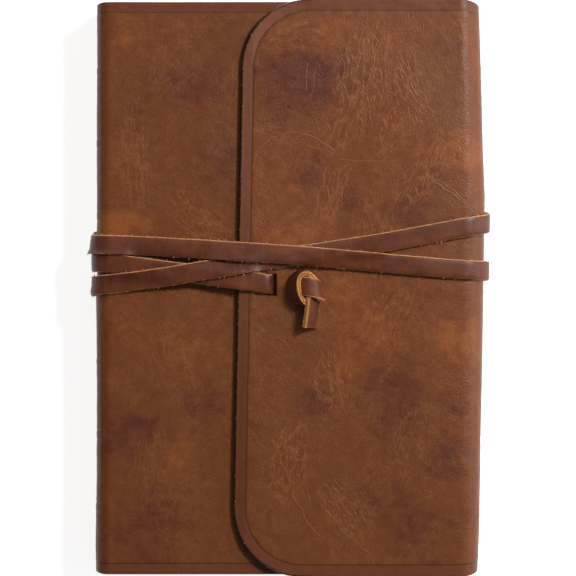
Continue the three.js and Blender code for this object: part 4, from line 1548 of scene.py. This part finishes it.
def build_strap():
    """The long thong from under the flap, through the slit and three times round the book."""
    s = np.arange(SLIT_S, STRAP_END, STRAP_STEP)
    route = np.array(STRAP_ROUTE)
    whole = np.arange(route[0, 0], route[-1, 0], STRAP_STEP)
    y = np.interp(s, whole, gentle(np.interp(whole, route[:, 0], route[:, 1]), 7 / STRAP_STEP))
    lift = strap_lifts(s, y) + 0.06
    middle = lift[:, len(ACROSS) // 2]
    start = strap_start(s, y)
    rest = s > start[-1, 0] + 0.3
    centre = np.concatenate([start, np.stack([s, y, middle + STRAP / 2], -1)[rest]])
    thin = np.interp(centre[:, 2], [STRAP_UNDER, -0.9], [0.8, STRAP])
    thin[len(start):] = STRAP
    tangent = np.gradient(centre, axis=0)
    tangent[len(start):, 2] = 0
    tangent = unit(tangent)
    across = np.stack([-tangent[:, 1], np.ones(len(centre)), np.zeros(len(centre))], -1)
    out = unit(np.cross(tangent, across))
    full = np.concatenate([np.zeros((len(start), len(ACROSS))), (lift - middle[:, None])[rest]])

    def lay(rows):
        """Lift each place of the ribbon by its own lift, then lay it on the hull."""
        off = (rows - centre[:, None, :]) @ np.array([0, 1.0, 0])
        moved = rows.copy()
        for k in range(rows.shape[1]):
            rise = [np.interp(off[i, k], ACROSS, full[i]) for i in range(len(centre))]
            moved[:, k, 2] += rise
        return on_hull(moved)

    piece = ribbon(centre, across, out, STRAP_WIDTH, thin, lay, seed=3, raw_below=False)
    fibres = joined("strap_fibres", edge_fibres(piece, 71, (1.0, 0.95)), [fibre_paint])
    return joined("strap", outward([piece]), strap_paints), fibres


def free_ribbon(points, step, seed, start_length, width=STRAP_WIDTH, thickness=STRAP, soften=1.0, side=1):
    """A stretch of strap in the air: points are x, y, z and the direction of its width."""
    line = along(points, step, soften)
    centre, across = line[:, :3], unit(line[:, 3:6])
    tangent = unit(np.gradient(centre, axis=0))
    across = unit(across - tangent * (across * tangent).sum(1)[:, None])
    out = side * np.cross(across, tangent)
    return ribbon(centre, across, out, width, thickness, None, seed, start_length)


def build_knot():
    """An overhand knot: a loop that stands on its edge, a band over it, and a coil round the stem."""
    loop = free_ribbon([
        (4.5, -5.8, 35.2, 0.5, 0.15, 0.85), (3.3, -4.0, 36.0, 0.5, 0.1, 0.86),
        (2.4, -1.6, 36.6, 0.5, 0, 0.87), (2.1, 0.7, 36.9, 0.5, 0, 0.87), (2.2, 3.1, 36.9, 0.42, -0.15, 0.9),
        (3.4, 5.4, 36.9, 0.25, -0.2, 0.95), (5.9, 6.8, 36.8, 0.0, -0.15, 0.98),
        (8.1, 6.2, 36.2, -0.1, -0.1, 1), (9.5, 4.9, 35.2, -0.1, 0, 1), (10.1, 3.6, 34.2, 0, 0, 1)],
        0.5, 11, 1200, thickness=1.9)
    band = free_ribbon([
        (3.2, 1.3, 34.2, 0, 1, 0), (3.5, 1.3, 36.0, 0, 1, 0), (4.5, 1.2, 38.0, 0.02, 1, 0),
        (6.7, 1.0, 39.3, 0.0, 1, 0), (8.9, 0.7, 39.2, -0.04, 1, 0.05), (10.5, 0.1, 38.1, -0.16, 1, 0.14),
        (11.6, -0.9, 36.4, -0.32, 1, 0.2), (12.2, -2.0, 34.6, -0.42, 1, 0.2)], 0.5, 12, 1300, side=-1)
    coil = free_ribbon([
        (6.2 + 3.4 * math.cos(turn), 0.4 + 3.2 * math.sin(turn), 35.0, 0.1 * math.cos(turn), 0, 1)
        for turn in np.linspace(0, 2 * math.pi * 0.97, 26)], 0.6, 13, 1400, 5.6, 1.8, 0.5)
    knot = joined("knot", outward([loop, band, coil]), strap_paints)
    tail = free_ribbon([
        (9.9, 0.8, 36.2, 0.62, 0, -0.78), (9.6, -1.5, 36.1, 0.62, 0, -0.78),
        (9.4, -4.0, 35.9, 0.62, 0, -0.78), (8.9, -8.0, 35.5, 0.6, 0, -0.8), (8.4, -12.0, 35.2, 0.6, 0, -0.8),
        (7.9, -15.2, 35.0, 0.6, 0, -0.8)], 0.5, 14, 1500, side=-1)
    tail_piece = joined("tail", outward([tail]), strap_paints)
    fibres = []
    for number, piece in enumerate((loop, band, tail)):
        fibres += edge_fibres(piece, 81 + number, (0.9, 1.2))
    return knot, tail_piece, joined("knot_fibres", fibres, [fibre_paint])


strap_piece, strap_fibres = build_strap()
knot_piece, tail_piece, knot_fibres = build_knot()
for piece in (strap_piece, strap_fibres):
    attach(piece, "flap")
    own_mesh(piece)
for piece in (knot_piece, tail_piece, knot_fibres):
    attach(piece, "flap")
    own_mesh(piece)
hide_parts("strap_front_1", "strap_front_2", "strap_front_3", "strap_anchor",
            "strap_spine_turn_1", "strap_spine_turn_2", "strap_spine_turn_3", "strap_fore_turn_1",
            "strap_fore_turn_2", "strap_back_1", "strap_back_2", "strap_free_end")
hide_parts("strap_knot")
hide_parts("strap_tail")

# ---------------------------------------------------------------- the camera, the lights and the floor
FLOOR_Z = 0.0
CAMERA_HEIGHT = 1150.0
VIEW_SIDE = 226.0


def build_camera(scene):
    camera_data = bpy.data.cameras.new("camera")
    camera_data.sensor_width = 36
    camera_data.lens = 36 * CAMERA_HEIGHT / VIEW_SIDE
    camera_data.clip_end = 20
    camera = bpy.data.objects.new("camera", camera_data)
    camera.location = spot(-0.4, 0.3, FRONT_Z + CAMERA_HEIGHT)
    scene.collection.objects.link(camera)
    scene.camera = camera


def build_light(scene, name, place_m, size, power, tint):
    """A round area light that points at the middle of the cover."""
    data = bpy.data.lights.new(name, "AREA")
    data.shape = "DISK"
    data.size = size
    data.energy = power
    data.color = tint
    light = bpy.data.objects.new(name, data)
    light.location = place_m
    light.rotation_mode = "QUATERNION"
    light.rotation_quaternion = (Vector((0, 0, 0.03)) - Vector(place_m)).to_track_quat("-Z", "Y")
    scene.collection.objects.link(light)


def build_world(scene):
    world = bpy.data.worlds.new("world")
    world.use_nodes = True
    world.node_tree.nodes["Background"].inputs["Color"].default_value = (1, 1, 1, 1)
    world.node_tree.nodes["Background"].inputs["Strength"].default_value = 0.17
    scene.world = world


def build_floor(scene):
    """A white floor that glows a little, so that it stays white round the cover."""
    paint = Paint("floor")
    spread = paint.noise(paint.node("ShaderNodeTexCoord").outputs["Object"], 3.0, 2)
    paint.finish(color=paint.mix(paint.remap(spread, 0.3, 0.7), (0.62, 0.62, 0.62, 1), (0.64, 0.64, 0.64, 1)),
                 roughness=0.9, specular=0.1)
    paint.shader.inputs["Emission Color"].default_value = (1, 1, 1, 1)
    paint.shader.inputs["Emission Strength"].default_value = 0.8
    mesh = bpy.data.meshes.new("floor")
    half = 3.0
    corners = [(-half, -half, 0), (half, -half, 0), (half, half, 0), (-half, half, 0)]
    mesh.from_pydata(corners, [], [(0, 1, 2, 3)])
    mesh.materials.append(paint.material)
    floor = bpy.data.objects.new("floor", mesh)
    floor.location.z = FLOOR_Z * M - 0.0001
    scene.collection.objects.link(floor)


def build_stage():
    scene = bpy.context.scene
    scene.view_settings.view_transform = "Standard"
    build_camera(scene)
    build_light(scene, "key", (0.52, 0.4, 0.82), 0.24, 10.2, (1.0, 0.975, 0.93))
    build_light(scene, "fill", (-0.3, 0.85, 0.8), 0.8, 1.6, (1.0, 0.97, 0.92))
    build_light(scene, "side", (0.85, 0.08, 0.34), 0.5, 3.0, (1.0, 0.97, 0.93))
    build_world(scene)
    build_floor(scene)


build_stage()
